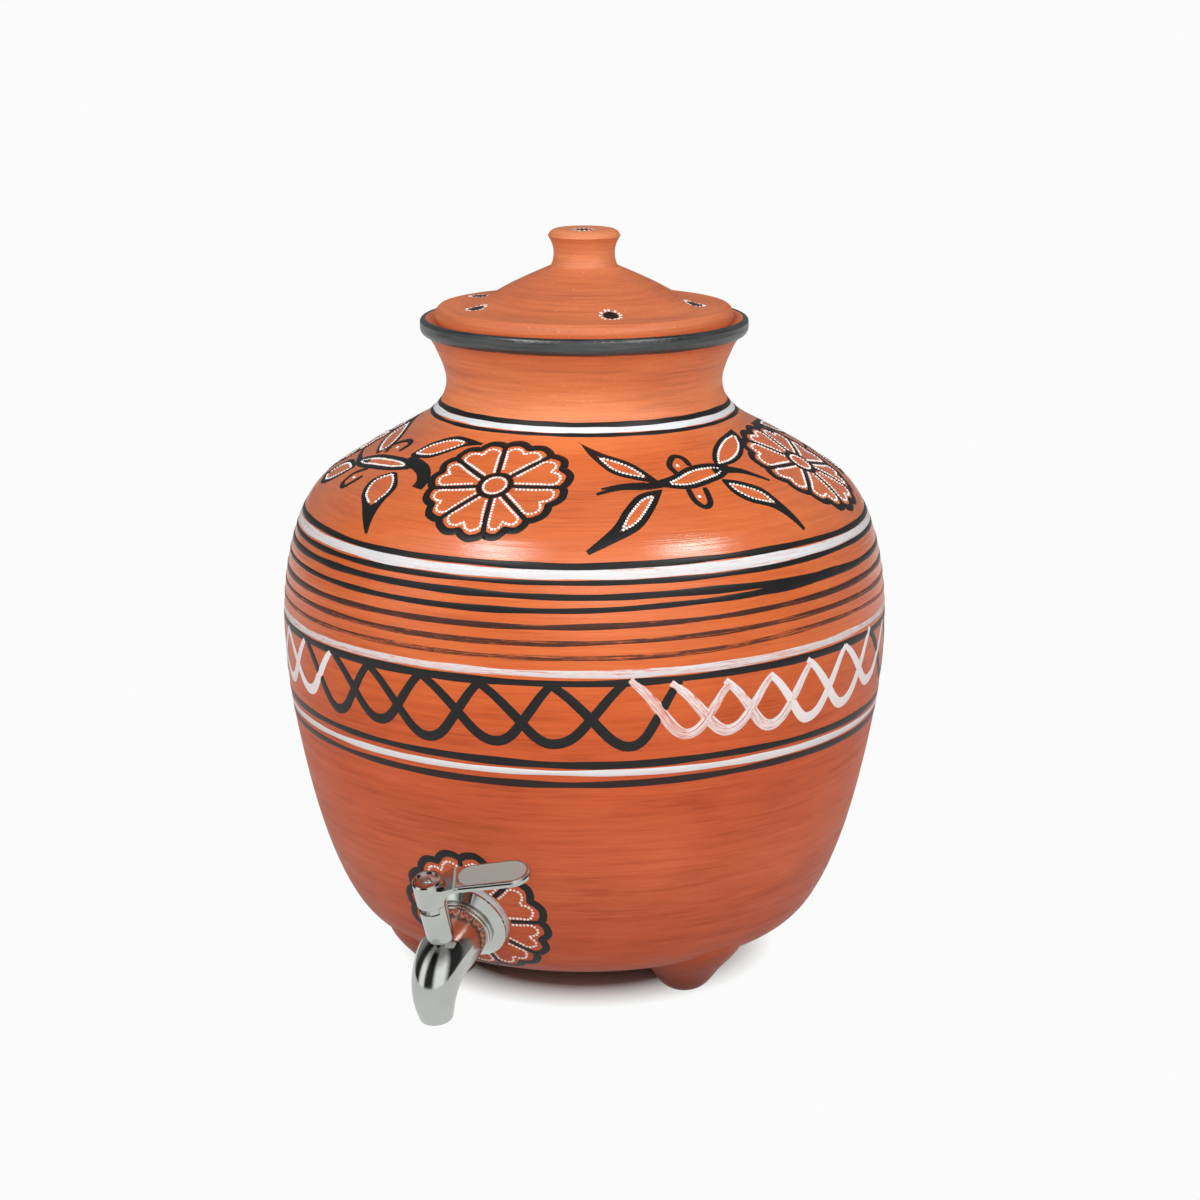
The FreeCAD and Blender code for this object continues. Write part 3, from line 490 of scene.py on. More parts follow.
class Wall:
    """The outer surface of some round parts, as a place to paint on."""

    def __init__(self, names, low=-1.0, with_tops=False):
        found = {}
        for name in names:
            for corner in nodes[name].data.vertices:
                radius = math.hypot(corner.co.x, corner.co.y)
                spot = corner.co
                behind = spot.y > abs(spot.x)
                if not behind or radius < MM or spot.z < low:
                    continue
                outward = (corner.normal.x * spot.x + corner.normal.y * spot.y) / radius
                if outward > FACING or (with_tops and corner.normal.z > FACING):
                    level = round(spot.z / MM, 1)
                    found[level] = max((radius, spot.z), found.get(level, (0, 0)))
        self.radii, self.heights = np.array([found[level] for level in sorted(found)]).T
        steps = np.hypot(np.diff(self.heights), np.diff(self.radii))
        self.ups = np.concatenate([[0], np.cumsum(steps)])

    def up_at(self, height):
        """Distance along the wall to a height."""
        return float(np.interp(height, self.heights, self.ups))

    def radius_at(self, up):
        return float(np.interp(up, self.ups, self.radii))

    def place(self, around, up, lift=0.0):
        """The point of the wall at an angle from the tap, in degrees, and a distance up it."""
        reach = 2 * MM      # the slope is taken between two points this far to either side
        radius, height = self.radius_at(up), float(np.interp(up, self.ups, self.heights))
        rise = np.interp(up + reach, self.ups, self.heights) - np.interp(up - reach, self.ups, self.heights)
        growth = self.radius_at(up + reach) - self.radius_at(up - reach)
        length = math.hypot(rise, growth) or 1.0
        radius += lift * rise / length
        height -= lift * growth / length
        turn = math.radians(around)
        return Vector((radius * math.sin(turn), -radius * math.cos(turn), height))

    def press(self, middle, right, above):
        """Where a point of a flat drawing lands: middle is (around, up), the rest in metres."""
        up = middle[1] + above
        return middle[0] + math.degrees(right / self.radius_at(up)), up


pot_wall = Wall(["pot_bowl", "pot_shoulder", "pot_neck"], low=bowl_low.z + MM)
lid_wall = Wall(["lid"], with_tops=True)
print("outline corners:", len(pot_wall.heights), "on the pot,", len(lid_wall.heights), "on the lid")

# %% [markdown]
# ## A brush stroke
#
# A stroke of slip is a thin raised skin, widest where the brush presses and narrower where it
# lifts. Each stroke here is a strip of faces along a path on the wall. Five corners across give
# it a low crown. The strip keeps two things for its finish: a map that runs along and across
# the stroke, for bristle marks, and a share of cover, for a brush that runs dry.

# %% Strokes
ACROSS = (-1.0, -0.7, 0.0, 0.7, 1.0)
CROWN = (0.02, 0.13, 0.17, 0.13, 0.02)     # millimetres above the clay
STEP = 1.3 * MM
hand = random.Random(11)


class Skin:
    """Corners, faces, brush map and cover of one painted piece."""

    def __init__(self, wall, lift=0.0):
        self.wall = wall
        self.lift = lift
        self.corners, self.faces, self.map, self.cover = [], [], [], []

    def corner(self, spot, along, across, cover):
        self.corners.append(spot)
        self.map.append((along / MM, across / MM))
        self.cover.append(cover)
        return len(self.corners) - 1

    def stroke(self, path, width, cover=1.0, closed=False):
        """A stroke along (around, up) points. Width and cover are numbers or functions of 0..1."""
        row_before, first_row, along = None, None, 0.0
        count = len(path)
        spots = [self.wall.place(*point) for point in path]
        for index, (around, up) in enumerate(path):
            share = index / (count if closed else count - 1)
            before = spots[index - 1] if index or closed else spots[0]
            after = spots[(index + 1) % count] if index + 1 < count or closed else spots[-1]
            direction = (after - before).normalized()
            normal = (self.wall.place(around, up, MM) - spots[index]).normalized()
            side = normal.cross(direction).normalized()
            climb = (self.wall.place(around, up + MM) - spots[index]).normalized()
            half = (width(share) if callable(width) else width) / 2
            paint = cover(share) if callable(cover) else cover
            row = []
            for offset, crown in zip(ACROSS, CROWN):
                move = side * (offset * half)
                sideways = spots[index] + move
                turn = math.degrees(math.atan2(sideways.x, -sideways.y))
                spot = self.wall.place(turn, up + move.dot(climb), (crown + self.lift) * MM)
                row.append(self.corner(spot, along, offset * half, paint))
            if row_before:
                self.bridge(row_before, row)
            first_row = first_row or row
            row_before = row
            along += (after - before).length / (1 if index in (0, count - 1) and not closed else 2)
        if closed:
            self.bridge(row_before, first_row)

    def bridge(self, first, second):
        for near, far, next_far, next_near in zip(first, first[1:], second[1:], second):
            self.faces.append((near, far, next_far, next_near))

    def dot(self, around, up, radius, height=0.35):
        """A round drop of slip."""
        centre = self.corner(self.wall.place(around, up, height * MM), 0, 0, 1.0)
        rings = []
        for share, rise in ((0.6, 0.8), (1.0, 0.05)):
            ring = []
            for number in range(10):
                turn = math.tau * number / 10
                spot = self.wall.press((around, up), radius * share * math.cos(turn),
                                       radius * share * math.sin(turn))
                ring.append(self.corner(self.wall.place(*spot, rise * height * MM), 0, 0, 1.0))
            rings.append(ring)
        inner, outer = rings
        for number in range(10):
            following = (number + 1) % 10
            self.faces.append((centre, inner[number], inner[following]))
            self.faces.append((inner[number], outer[number], outer[following], inner[following]))

    def finish(self, name, finish, body, slot="clay"):
        """Make the mesh, give it its finish and let it ride on its body."""
        piece = add_mesh(name, self.corners, self.faces)
        mesh = piece.data
        brush_map = mesh.uv_layers.new(name="brush")
        for loop in mesh.loops:
            brush_map.data[loop.index].uv = self.map[loop.vertex_index]
        mesh.attributes.new("cover", "FLOAT", "POINT").data.foreach_set("value", self.cover)
        mesh.shade_smooth()
        finish.wear(piece)
        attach(piece, body)
        print(f"{name}: {len(self.faces)} faces")


def smooth_path(points, wall, closed=False):
    """A curve through (around, up) points, cut into steps of about a millimetre."""
    count = len(points)
    path = []
    for index in range(count if closed else count - 1):
        if closed:
            near = [points[(index + offset) % count] for offset in (-1, 0, 1, 2)]
        else:
            near = [points[min(max(index + offset, 0), count - 1)] for offset in (-1, 0, 1, 2)]
        length = (wall.place(*near[2]) - wall.place(*near[1])).length
        pieces = max(2, round(length / STEP))
        for piece in range(pieces):
            share = piece / pieces
            path.append(tuple(bend(*(point[axis] for point in near), share) for axis in (0, 1)))
    return path if closed else path + [points[-1]]


def bend(before, start, end, after, share):
    """One step of a Catmull-Rom curve from start to end."""
    pull = (end - before) / 2
    push = (after - start) / 2
    gap = end - start
    return start + share * (pull + share * (3 * gap - 2 * pull - push + share * (pull + push - 2 * gap)))


def lifted(width, start, end, reach=0.12):
    """A width that swells from its start and thins to its end, as a brush does."""
    def at(share):
        rise = min(1.0, share / reach)
        fall = min(1.0, (1 - share) / reach)
        return width * (start + (1 - start) * math.sin(rise * math.pi / 2)) * (
            end + (1 - end) * math.sin(fall * math.pi / 2))
    return at


print("brush ready")

# %% [markdown]
# ## Slip: the black and the white paint
#
# Slip is clay thinned with water. Laid thickly it covers, but a dry brush leaves streaks with
# terracotta between them. Real transparency would be slow and isn't needed: the finish mixes the
# slip's colour with the clay's own colour, by streaks that follow the brush map. Where cover is
# low, more streaks break through.

# %% Slip
STREAK_SHARE = 0.76      # how much bristle marks decide where paint breaks, against patches


def slip(name, colour, shade, bristle, roughness, thinnest=0.55, film=0.16):
    """Paint that follows the brush map. Bristle is the number of streaks per millimetre.

    Thinnest is the cover of a streak of thin paint, and film the cover between the streaks.
    """
    finish = Finish(name, roughness, Specular_IOR_Level=0.3)
    brush_map = finish.node("UVMap", uv_map="brush").outputs["UV"]
    streaks = finish.noise(finish.place((0.03, bristle, 1.0), brush_map), 3, 0.6)
    patches = finish.noise(finish.place((0.22, 0.9, 1.0), brush_map), 3)
    cover = finish.node("Attribute", attribute_name="cover").outputs["Fac"]
    field = finish.math("ADD", finish.math("MULTIPLY", streaks, STREAK_SHARE),
                        finish.math("MULTIPLY", patches, 1 - STREAK_SHARE))
    dry = finish.spread(cover, 0.0, 1.0, 0.70, 0.18)
    streaked = finish.spread(finish.math("SUBTRACT", field, dry), -0.035, 0.045, film, 1.0)
    thinned = finish.spread(cover, 0.1, 0.8, thinnest, 1.0)
    body = finish.mix(finish.spread(streaks, 0.35, 0.75), colour, shade)
    paint = finish.math("MULTIPLY", streaked, thinned)
    finish.feed("Base Color", finish.mix(paint, clay_colour(finish), body))
    finish.feed("Normal", finish.bump(streaks, 0.00006))
    return finish


black_slip = slip("black slip", linear(20, 20, 21), linear(38, 37, 37), 2.2, 0.42, 0.74)
white_slip = slip("white slip", linear(231, 241, 245), linear(206, 216, 222), 2.0, 0.46, 0.72)
dot_slip = slip("thick white slip", linear(252, 252, 250), linear(244, 243, 240), 2.6, 0.42)
print("slip mixed")

# %% [markdown]
# ## Bands
#
# The bands are turned on the wheel: the brush is held still while the pot goes round. They still
# wander and change in width, and some were painted with a half-dry brush. Each band is a closed
# stroke with a height, a width and a cover. The height is a single number, or a list of heights
# at angles where the hand drifted. Two of the lines run into each other to the right of the
# tap, where the painter's thick stroke ends.

# %% Bands
JOINED = ((66.5, 201.2), (80, 200.2), (90, 199.6), (150, 200.4))
# height on the wall, width, cover; heights and widths in millimetres
black_bands = (
    (263.1, 2.0, 1.0), (262.5, 1.9, 0.95), (258.8, 2.0, 1.0),
    (((-40, 215.2), (-18, 213.8), (0, 214.6), (25, 214.1), (45, 215.1), (70, 215.2), (90, 214.2)), 2.9, 1.0),
    (((-20, 207.4), (30, 207.9), (60, 208.2), (90, 208.7)), 2.3, 0.80),
    (((-40, 202.7), (0, 202.3), (28, 201.8), (42, 202.7), (57.5, 202.3), *JOINED, (200, 202.4)), 3.0, 1.0),
    (((-40, 196.2), (10, 196.2), (28, 196.6), (42, 198.0), (53, 198.3), (60, 198.9), (72, 199.2),
      (80, 199.6), (90, 199.6), (150, 200.4), (240, 197.0)), 2.4, 0.90),
    (((-40, 189.1), (15, 189.3), (40, 190.8), (67, 192.4), (100, 193.0), (200, 191.0)), 2.5, 0.62),
    (((-40, 182.7), (20, 182.8), (45, 184.2), (75, 186.2), (100, 186.0), (200, 184.0)), 2.3, 0.53),
    (((-40, 176.5), (25, 176.6), (45, 177.4), (70, 180.4), (90, 180.3), (103, 178.6), (200, 177.0)),
     2.1, 0.45),
    (((-20, 165.9), (30, 166.1), (50, 167.2), (80, 167.1), (120, 166.3)), 3.2, 0.90),
    (((-38, 131.9), (-10, 131.1), (7, 130.5), (20, 129.4), (34, 129.3), (50, 130.6), (90, 130.6)),
     3.2, 0.90),
    (((-40, 121.7), (0, 120.8), (25, 120.5), (45, 121.4), (65, 122.3), (90, 122.0)), 3.1, 0.74),
)
white_bands = (
    (260.8, 3.2, 1.0),
    (((-40, 211.4), (0, 210.9), (40, 211.4), (80, 211.5)), 4.3, 0.58),
    (((-40, 211.4), (0, 210.9), (40, 211.4), (80, 211.5)), 2.4, 0.80),
    (((-40, 169.8), (30, 170.0), (60, 171.0), (85, 171.6), (200, 170.4)), 3.2, 0.50),
    (((-40, 126.8), (10, 125.9), (40, 125.7), (90, 126.4)), 2.9, 0.95),
)
BAND_SWAY = 0.15 * MM      # how far a band swings up and down
STEADINESS = 0.86          # 1 would be a band of one even width


def band_height(heights, turn):
    """Height of a band at an angle, in millimetres."""
    if isinstance(heights, float):
        return heights
    angles, levels = zip(*heights)
    return float(np.interp(turn % 360, [a % 360 for a in angles], levels, period=360))


def band_path(wall, heights, sway):
    """Once around the pot, swaying a little."""
    phase = hand.uniform(0, math.tau)
    slow = hand.choice((3, 4))
    path = []
    for turn in range(0, 360, 2):
        near = [band_height(heights, turn + offset) for offset in (-6, -3, 0, 3, 6)]
        level = wall.up_at(sum(near) / len(near) * MM)
        path.append((turn, level + sway * math.sin(slow * math.radians(turn) + phase)))
    return path


def band_width(width, steadiness):
    """A width that wanders around its mean as the pot turns."""
    waves = [(count, hand.uniform(0, math.tau)) for count in (3, 5, 9, 14, 23)]

    def at(share):
        sum_of_waves = sum(math.sin(count * math.tau * share + phase) for count, phase in waves)
        return width * (1 + (1 - steadiness) * sum_of_waves / 2)
    return at


def lay_bands(bands):
    skin = Skin(pot_wall)
    for heights, width, cover in bands:
        path = band_path(pot_wall, heights, BAND_SWAY)
        skin.stroke(path, band_width(width * MM, STEADINESS), cover, closed=True)
    return skin


# angle, height and width in millimetres along the thick stroke's end
brush_end = ((50.0, 198.2, 1.6), (57.0, 198.8, 2.4), (64.0, 199.3, 4.0), (66.5, 199.5, 4.3),
             (71.7, 200.0, 4.3), (77.0, 200.7, 3.4), (80.5, 200.8, 2.8))
end_turns, end_heights, end_widths = zip(*brush_end)
end_places = [(turn, pot_wall.up_at(height * MM)) for turn, height in zip(end_turns, end_heights)]
end_path = smooth_path(end_places, pot_wall)


def end_width(share):
    """Width of the thick stroke's end, by its angle."""
    turn = end_path[round(share * (len(end_path) - 1))][0]
    return float(np.interp(turn, end_turns, end_widths)) * MM


def end_cover(share):
    """The paint gives out only at the very end."""
    return 1.0 - 0.4 * share ** 8


black_skin = lay_bands(black_bands)
black_skin.stroke(end_path, end_width, end_cover)
black_skin.finish("black_bands", black_slip, "pot")
lay_bands(white_bands).finish("white_bands", white_slip, "pot")

# %% [markdown]
# ## Wave band
#
# Between two black lines runs a row of U-shaped strokes. Each starts high, dips and rises again,
# and crosses its neighbour. Most are black. Right and left of them the painter went on in white,
# on the right with a brush that was nearly dry at first. A U is written as three places, its two
# ends and its dip, each as the angle from the tap and the height. Around the back they follow
# each other at an even pitch.

# %% Wave band
# left end, dip and right end, each (degrees from the tap, height in millimetres)
black_waves = [
    ((-36.9, 165.2), (-25.8, 140.3), (-16.8, 164.8)), ((-26.5, 165.0), (-14.6, 141.4), (-4.8, 165.6)),
    ((-16.5, 164.8), (-3.7, 137.9), (6.7, 165.0)), ((-4.6, 165.4), (9.4, 139.4), (19.5, 165.2)),
    ((6.7, 164.6), (19.7, 139.2), (32.4, 166.5)), ((19.5, 165.2), (33.2, 137.8), (42.0, 165.9)),
]
# the same with the cover, because the white ones differ in it
white_waves = (
    (((33.1, 167.3), (43.5, 141.8), (51.5, 162.6)), 0.40),
    (((40.4, 165.2), (51.3, 141.4), (60.4, 163.2)), 0.45),
    (((50.5, 163.9), (60.3, 140.3), (69.9, 164.6)), 0.48),
    (((59.9, 163.4), (69.6, 139.5), (80.5, 167.0)), 0.66),
    (((68.9, 166.3), (80.0, 140.8), (91.4, 169.0)), 0.86),
    (((80.5, 166.8), (90.7, 144.9), (102.0, 166.0)), 0.92),
    (((-59.0, 165.0), (-47.4, 142.2), (-37.9, 165.4)), 0.95),
    (((-48.4, 164.0), (-36.7, 143.2), (-27.6, 165.2)), 1.0),
    (((-70.0, 165.6), (-58.4, 140.9), (-48.0, 165.4)), 0.9),
    (((-81.0, 164.8), (-69.6, 141.6), (-59.0, 165.8)), 0.8),
)
DRY = 0.5      # a brush with less cover than this was pressed harder and marks wider
BLACK_STROKE, WHITE_STROKE, DRY_STROKE = 4.5 * MM, 4.8 * MM, 5.2 * MM
# around the back: the first wave's angle, the angle where they end, and the pitch, in degrees
back, back_end, pitch = 91.4, 292.0, 11.3
while back + 2 * pitch < back_end:
    first = back < 95      # it joins the white ones a little higher up
    black_waves.append(((back, 168.0 if first else 165.0 + hand.uniform(-0.6, 0.8)),
                        (back + 1.1 * pitch, 139.6 + hand.uniform(-1.2, 1.6)),
                        (back + 2.05 * pitch, 165.2 + hand.uniform(-0.6, 0.8))))
    back += pitch * hand.uniform(0.96, 1.04)
left_arm = ((0.0, 1.0), (0.22, 0.80), (0.48, 0.49), (0.72, 0.17), (0.88, 0.03))
right_arm = ((0.0, 0.0), (0.16, 0.03), (0.34, 0.16), (0.60, 0.50), (0.82, 0.80), (1.0, 1.0))


def wave(skin, ends, width, cover):
    """One U from its left end through its dip to its right end."""
    left, dip, right = ends
    points = []
    for share, rise in left_arm:
        points.append((left[0] + share * (dip[0] - left[0]), dip[1] + rise * (left[1] - dip[1])))
    for share, rise in right_arm:
        points.append((dip[0] + share * (right[0] - dip[0]), dip[1] + rise * (right[1] - dip[1])))
    path = smooth_path([(turn, pot_wall.up_at(height * MM)) for turn, height in points], pot_wall)
    skin.stroke(path, width, cover)


def pressed(width, ends):
    """A width that is largest where the stroke turns, and has a share of that at its ends."""
    return lambda share: width * (ends + (1 - ends) * math.sin(math.pi * share) ** 0.8)


black_wave_skin = Skin(pot_wall)
for ends in black_waves:
    wave(black_wave_skin, ends, pressed(BLACK_STROKE, 0.80), hand.uniform(0.95, 1.0))
black_wave_skin.finish("black_waves", black_slip, "pot")
dry_white = slip("white slip on a dry brush", linear(246, 251, 253), linear(228, 232, 238), 2.6, 0.46,
                 thinnest=0.92, film=0.07)
white_wave_skin = Skin(pot_wall, lift=0.05)
for ends, cover in white_waves:
    wave(white_wave_skin, ends, pressed(DRY_STROKE if cover < DRY else WHITE_STROKE, 0.55), cover)
white_wave_skin.finish("white_waves", dry_white, "pot")
print("waves:", len(black_waves), "black,", len(white_waves), "white")

# %% [markdown]
# ## Flowers
#
# Eight heart-shaped petals with thick black outlines make a flower. Rows of white dots, set with
# the tip of a stick, follow the inside of each petal and the ring in the middle. A petal is
# written once, between two angles: a scalloped outer edge, two spokes and a heart of dots. The
# angles differ from petal to petal, as they do when they are drawn by eye. Pressing the flat
# drawing on to the wall bends it around the pot.

# %% Flowers
petal_gaps = (1.6, 50.0, 100.5, 151.0, 191.4, 232.3, 279.8, 317.0)     # degrees, counterclockwise
scallop = ((0.0, 0.895), (0.09, 0.935), (0.27, 0.965), (0.42, 0.925), (0.5, 0.885),
           (0.58, 0.925), (0.73, 0.965), (0.91, 0.935))
heart = ((0.26, 0.845), (0.40, 0.815), (0.5, 0.745), (0.60, 0.815), (0.74, 0.845))
# all in millimetres
ring_radius, ring_width, spoke_width, outline_width = 7.1, 2.5, 2.1, 3.6
dot_radius, dot_pitch, dot_gap = 0.68, 1.66, 0.85      # the gap is from a dot's middle to a spoke
seed_radius, seed_pitch, seed_gap = 0.66, 1.5, 2.0     # the dots inside the ring


def dotted(dots, path, pitch, radius):
    """Drops of slip at an even pitch along a path on the wall."""
    left = 0.0
    for near, far in zip(path, path[1:]):
        gap = (dots.wall.place(*far) - dots.wall.place(*near)).length
        while left <= gap:
            share = left / gap
            dots.dot(near[0] + share * (far[0] - near[0]), near[1] + share * (far[1] - near[1]),
                     radius * hand.uniform(0.88, 1.1))
            left += pitch * hand.uniform(0.92, 1.08)
        left -= gap


def flower(outline, dots, middle, reach, gaps, bare=0.0):
    """A flower at (around, up). Reach gives its radius by angle. Nothing is drawn within bare."""
    def spot(radius, angle):
        return outline.wall.press(middle, radius * MM * math.cos(math.radians(angle)),
                                  radius * MM * math.sin(math.radians(angle)))

    edge = []
    for number, start in enumerate(gaps):
        width = (gaps[(number + 1) % len(gaps)] - start) % 360
        edge += [spot(reach(start + share * width) * rise, start + share * width) for share, rise in scallop]
        root = max(ring_radius, bare)
        spoke = [spot(radius, start) for radius in np.linspace(root, reach(start) * 0.9, 7)]
        outline.stroke(smooth_path(spoke, outline.wall), lambda share: (spoke_width + 0.5 * share ** 3) * MM)

        def beside(radius, side):
            turn = start if side > 0 else start + width
            return spot(radius, turn + side * math.degrees((spoke_width / 2 + dot_gap) / radius))

        inner = max(ring_radius + 2.2, bare)
        radii = [radius for radius in (inner, inner + 5, inner + 10) if radius < 0.74 * reach(start)]
        lobes = [spot(reach(start + share * width) * rise, start + share * width) for share, rise in heart]
        petal = [beside(radius, 1) for radius in radii] + [beside(reach(start) * 0.775, 1)] + lobes
        petal += [beside(reach(start + width) * 0.775, -1)]
        petal += [beside(radius, -1) for radius in reversed(radii)]
        dotted(dots, smooth_path(petal, dots.wall), dot_pitch * MM, dot_radius * MM)
    outline.stroke(smooth_path(edge, outline.wall, closed=True), outline_width * MM, closed=True)
    if not bare:
        ring = [spot(ring_radius, angle) for angle in range(0, 360, 30)]
        outline.stroke(smooth_path(ring, outline.wall, closed=True), ring_width * MM, closed=True)
        seeds = [spot(ring_radius - seed_gap, angle) for angle in range(0, 361, 30)]
        dotted(dots, smooth_path(seeds, dots.wall), seed_pitch * MM, seed_radius * MM)


def shoulder_reach(angle):
    """A flower a little wider than high, its lower petals the longer ones."""
    return 32.2 + 1.3 * math.cos(math.radians(2 * angle)) - 1.4 * math.sin(math.radians(angle))


flower_places = ((2.6, 241.2, 0), (97.2, 239.6, 21), (187.0, 240.6, -14), (277.0, 240.0, 33))
flower_black = Skin(pot_wall)
flower_dots = Skin(pot_wall, lift=0.1)
for angle, height, turn in flower_places:
    gaps = tuple((gap + turn) % 360 for gap in petal_gaps)
    flower(flower_black, flower_dots, (angle, pot_wall.up_at(height * MM)), shoulder_reach, gaps)
flower_black.finish("flower_outlines", black_slip, "pot")
flower_dots.finish("flower_dots", dot_slip, "pot")

# %% [markdown]
# ## Sprigs
#
# Between the flowers lie sprigs: a long leaf with stems at both ends, four pointed leaves and two
# small loops. A leaf's outline swells into a solid black tip. It is drawn as two edges, both
# from root to tip, in millimetres from the sprig's middle. The clay shows between them where
# they are far enough apart, and dots line that opening.

# %% Sprigs
# each leaf: its two edges from root to tip, and the share of its length at which the clay ends
leaves = (
    (((-13.0, 3.6), (-19.9, 16.5), (-29.5, 24.2), (-37.4, 31.6)),
     ((-13.0, 2.6), (-20.0, 4.7), (-31.0, 10.3), (-35.4, 21.1), (-36.6, 30.8)), 0.74),
    (((-14.0, -1.0), (-25.3, -3.4), (-35.2, -12.1), (-44.4, -22.4), (-59.2, -33.6)),
     ((-14.6, -2.4), (-22.4, -12.9), (-32.7, -23.4), (-45.1, -29.6), (-58.4, -35.4)), 0.66),
    (((19.0, 9.6), (18.9, 14.0), (23.9, 21.2), (32.3, 26.6), (44.6, 29.6)),
     ((20.0, 9.2), (30.0, 9.8), (39.6, 14.3), (46.9, 22.8), (45.6, 29.0)), 0.86),
    (((17.3, 1.4), (26.0, -1.9), (35.5, -8.3), (41.0, -18.2), (49.0, -33.2)),
     ((16.4, 0.2), (18.3, -8.0), (24.5, -15.0), (35.6, -21.0), (47.6, -34.4)), 0.66),
)
long_leaf = (((-13.7, 4.0), (-5.1, 7.4), (4.4, 11.6), (15.0, 12.2), (24.6, 9.4)),
             ((-12.9, 0.2), (-1.2, -2.4), (11.5, 0.2), (19.0, 2.4), (25.0, 6.2)), 0.92)
# each stem: its points from tip to root, and its breadth at both ends
stems = (
    (((-43.4, -2.6), (-32.0, 0.9), (-19.4, 1.4), (-8.0, 3.4)), 1.5, 5.6),
    (((-40.0, 0.6), (-30.0, 2.6), (-20.0, 2.4)), 1.2, 3.4),
    (((43.6, -5.0), (32.4, 2.9), (24.0, 6.2), (15.0, 7.0)), 1.5, 6.0),
)
loops = (
    ((-2.6, 7.0), (-4.0, 13.6), (0.4, 19.2), (4.4, 17.8), (5.6, 12.0)),
    ((-2.3, -2.5), (-2.4, -9.8), (0.6, -14.2), (4.4, -11.4), (5.9, -2.4)),
)
loop_dots = ((-0.3, 13.1), (0.9, -7.4))
right_sprig = (leaves + (long_leaf,), stems, loops, loop_dots)
# the sprig left of the tap is another drawing: its stem curls, and its leaves are shorter
left_sprig = (
    (
        (((8.6, 11.4), (11.0, 21.6), (18.6, 28.4), (26.7, 29.1), (38.1, 27.2)),
         ((10.4, 10.2), (21.8, 11.8), (27.2, 17.4), (31.4, 23.4), (38.1, 26.0)), 0.84),
        (((12.6, -1.2), (5.6, -8.6), (9.8, -17.0), (21.0, -24.8), (34.0, -35.6)),
         ((16.0, -1.0), (26.2, -8.6), (29.2, -18.2), (32.4, -27.6), (35.4, -35.0)), 0.62),
        (((-19.3, 3.2), (-35.8, 9.7), (-42.0, 19.0), (-50.4, 26.0)),
         ((-18.0, 4.2), (-14.7, 12.1), (-21.6, 20.0), (-34.0, 25.0), (-49.0, 27.6)), 0.74),
        (((-24.0, -7.0), (-36.4, -6.4), (-45.5, -10.9), (-56.0, -22.0)),
         ((-22.6, -8.6), (-26.4, -15.5), (-33.6, -22.6), (-44.0, -25.4), (-55.0, -23.4)), 0.78),
        (((-29.7, -3.7), (-19.9, 1.9), (-7.6, 6.2), (11.4, 8.3), (20.4, 4.6)),
         ((-29.0, -6.7), (-19.0, -6.8), (-8.6, -4.5), (8.5, -1.2), (19.4, 2.6)), 0.92),
    ),
    (
        (((37.4, -7.0), (36.6, -4.2), (33.5, 0.2), (25.6, 5.2), (10.8, 8.6)), 6.8, 6.4),
        (((-46.0, -1.4), (-36.0, -3.2), (-26.0, -4.2), (-16.0, -1.0)), 1.4, 5.0),
    ),
    (
        ((-12.2, 6.7), (-14.7, 12.1), (-8.0, 17.6), (-2.2, 16.6), (-2.6, 10.5)),
        ((-8.2, -4.2), (-15.1, -10.4), (-14.4, -16.9), (-9.0, -18.1), (-4.7, -9.2)),
    ),
    ((-8.0, 12.0), (-10.4, -12.0)),
)
EDGE = 3.1 * MM      # breadth of the black beside a leaf's opening
LEAF_ROWS = 30       # rows of corners from root to tip
LOOP_WIDTH, LOOP_DOT = 2.8 * MM, 0.85 * MM


def flat_curve(points, count):
    """Even steps along a smooth flat curve through the points."""
    fine = []
    for index in range(len(points) - 1):
        near = [points[min(max(index + offset, 0), len(points) - 1)] for offset in (-1, 0, 1, 2)]
        for step in range(12):
            fine.append(tuple(bend(*(point[axis] for point in near), step / 12) for axis in (0, 1)))
    fine = np.array(fine + [points[-1]])
    walked = np.concatenate([[0], np.cumsum(np.hypot(*np.diff(fine, axis=0).T))])
    steps = np.linspace(0, walked[-1], count)
    return np.column_stack([np.interp(steps, walked, fine[:, axis]) for axis in (0, 1)]) * MM


def leaf(outline, dots, middle, upper, lower, opening):
    """A leaf with a black edge and tip and an opening lined with dots."""
    first, second = flat_curve(upper, LEAF_ROWS), flat_curve(lower, LEAF_ROWS)
    centre = (first + second) / 2
    half = np.hypot(*(first - second).T) / 2
    share = np.linspace(0, 1, LEAF_ROWS)
    taper = np.clip(share / 0.14, 0, 1) * np.clip((opening - share) / 0.16, 0, 1)
    clear = np.maximum(half - EDGE, 0) * np.sqrt(taper)
    toward = (first - second) / np.maximum(2 * half, 1e-6)[:, None]
    inner = (centre + toward * clear[:, None], centre - toward * clear[:, None])
    before = None
    for row in range(LEAF_ROWS):
        line = []
        for edge, hole in ((first[row], inner[0][row]), (second[row], inner[1][row])):
            for mix, crown in ((0.0, 0.03), (0.5, 0.16), (1.0, 0.03 if clear[row] > 0 else 0.16)):
                flat = edge + mix * (hole - edge)
                spot = outline.wall.place(*outline.wall.press(middle, *flat), crown * MM)
                line.append(outline.corner(spot, share[row] * 30 * MM, (mix - 1) * 3 * MM, 1.0))
        if before:
            outline.bridge(before[:3], line[:3])
            outline.bridge(line[3:], before[3:])
        before = line
    for side in inner:
        opened = [outline.wall.press(middle, *spot) for spot, gap in zip(side, clear) if gap > 0.2 * MM]
        dotted(dots, opened, dot_pitch * MM, dot_radius * MM)


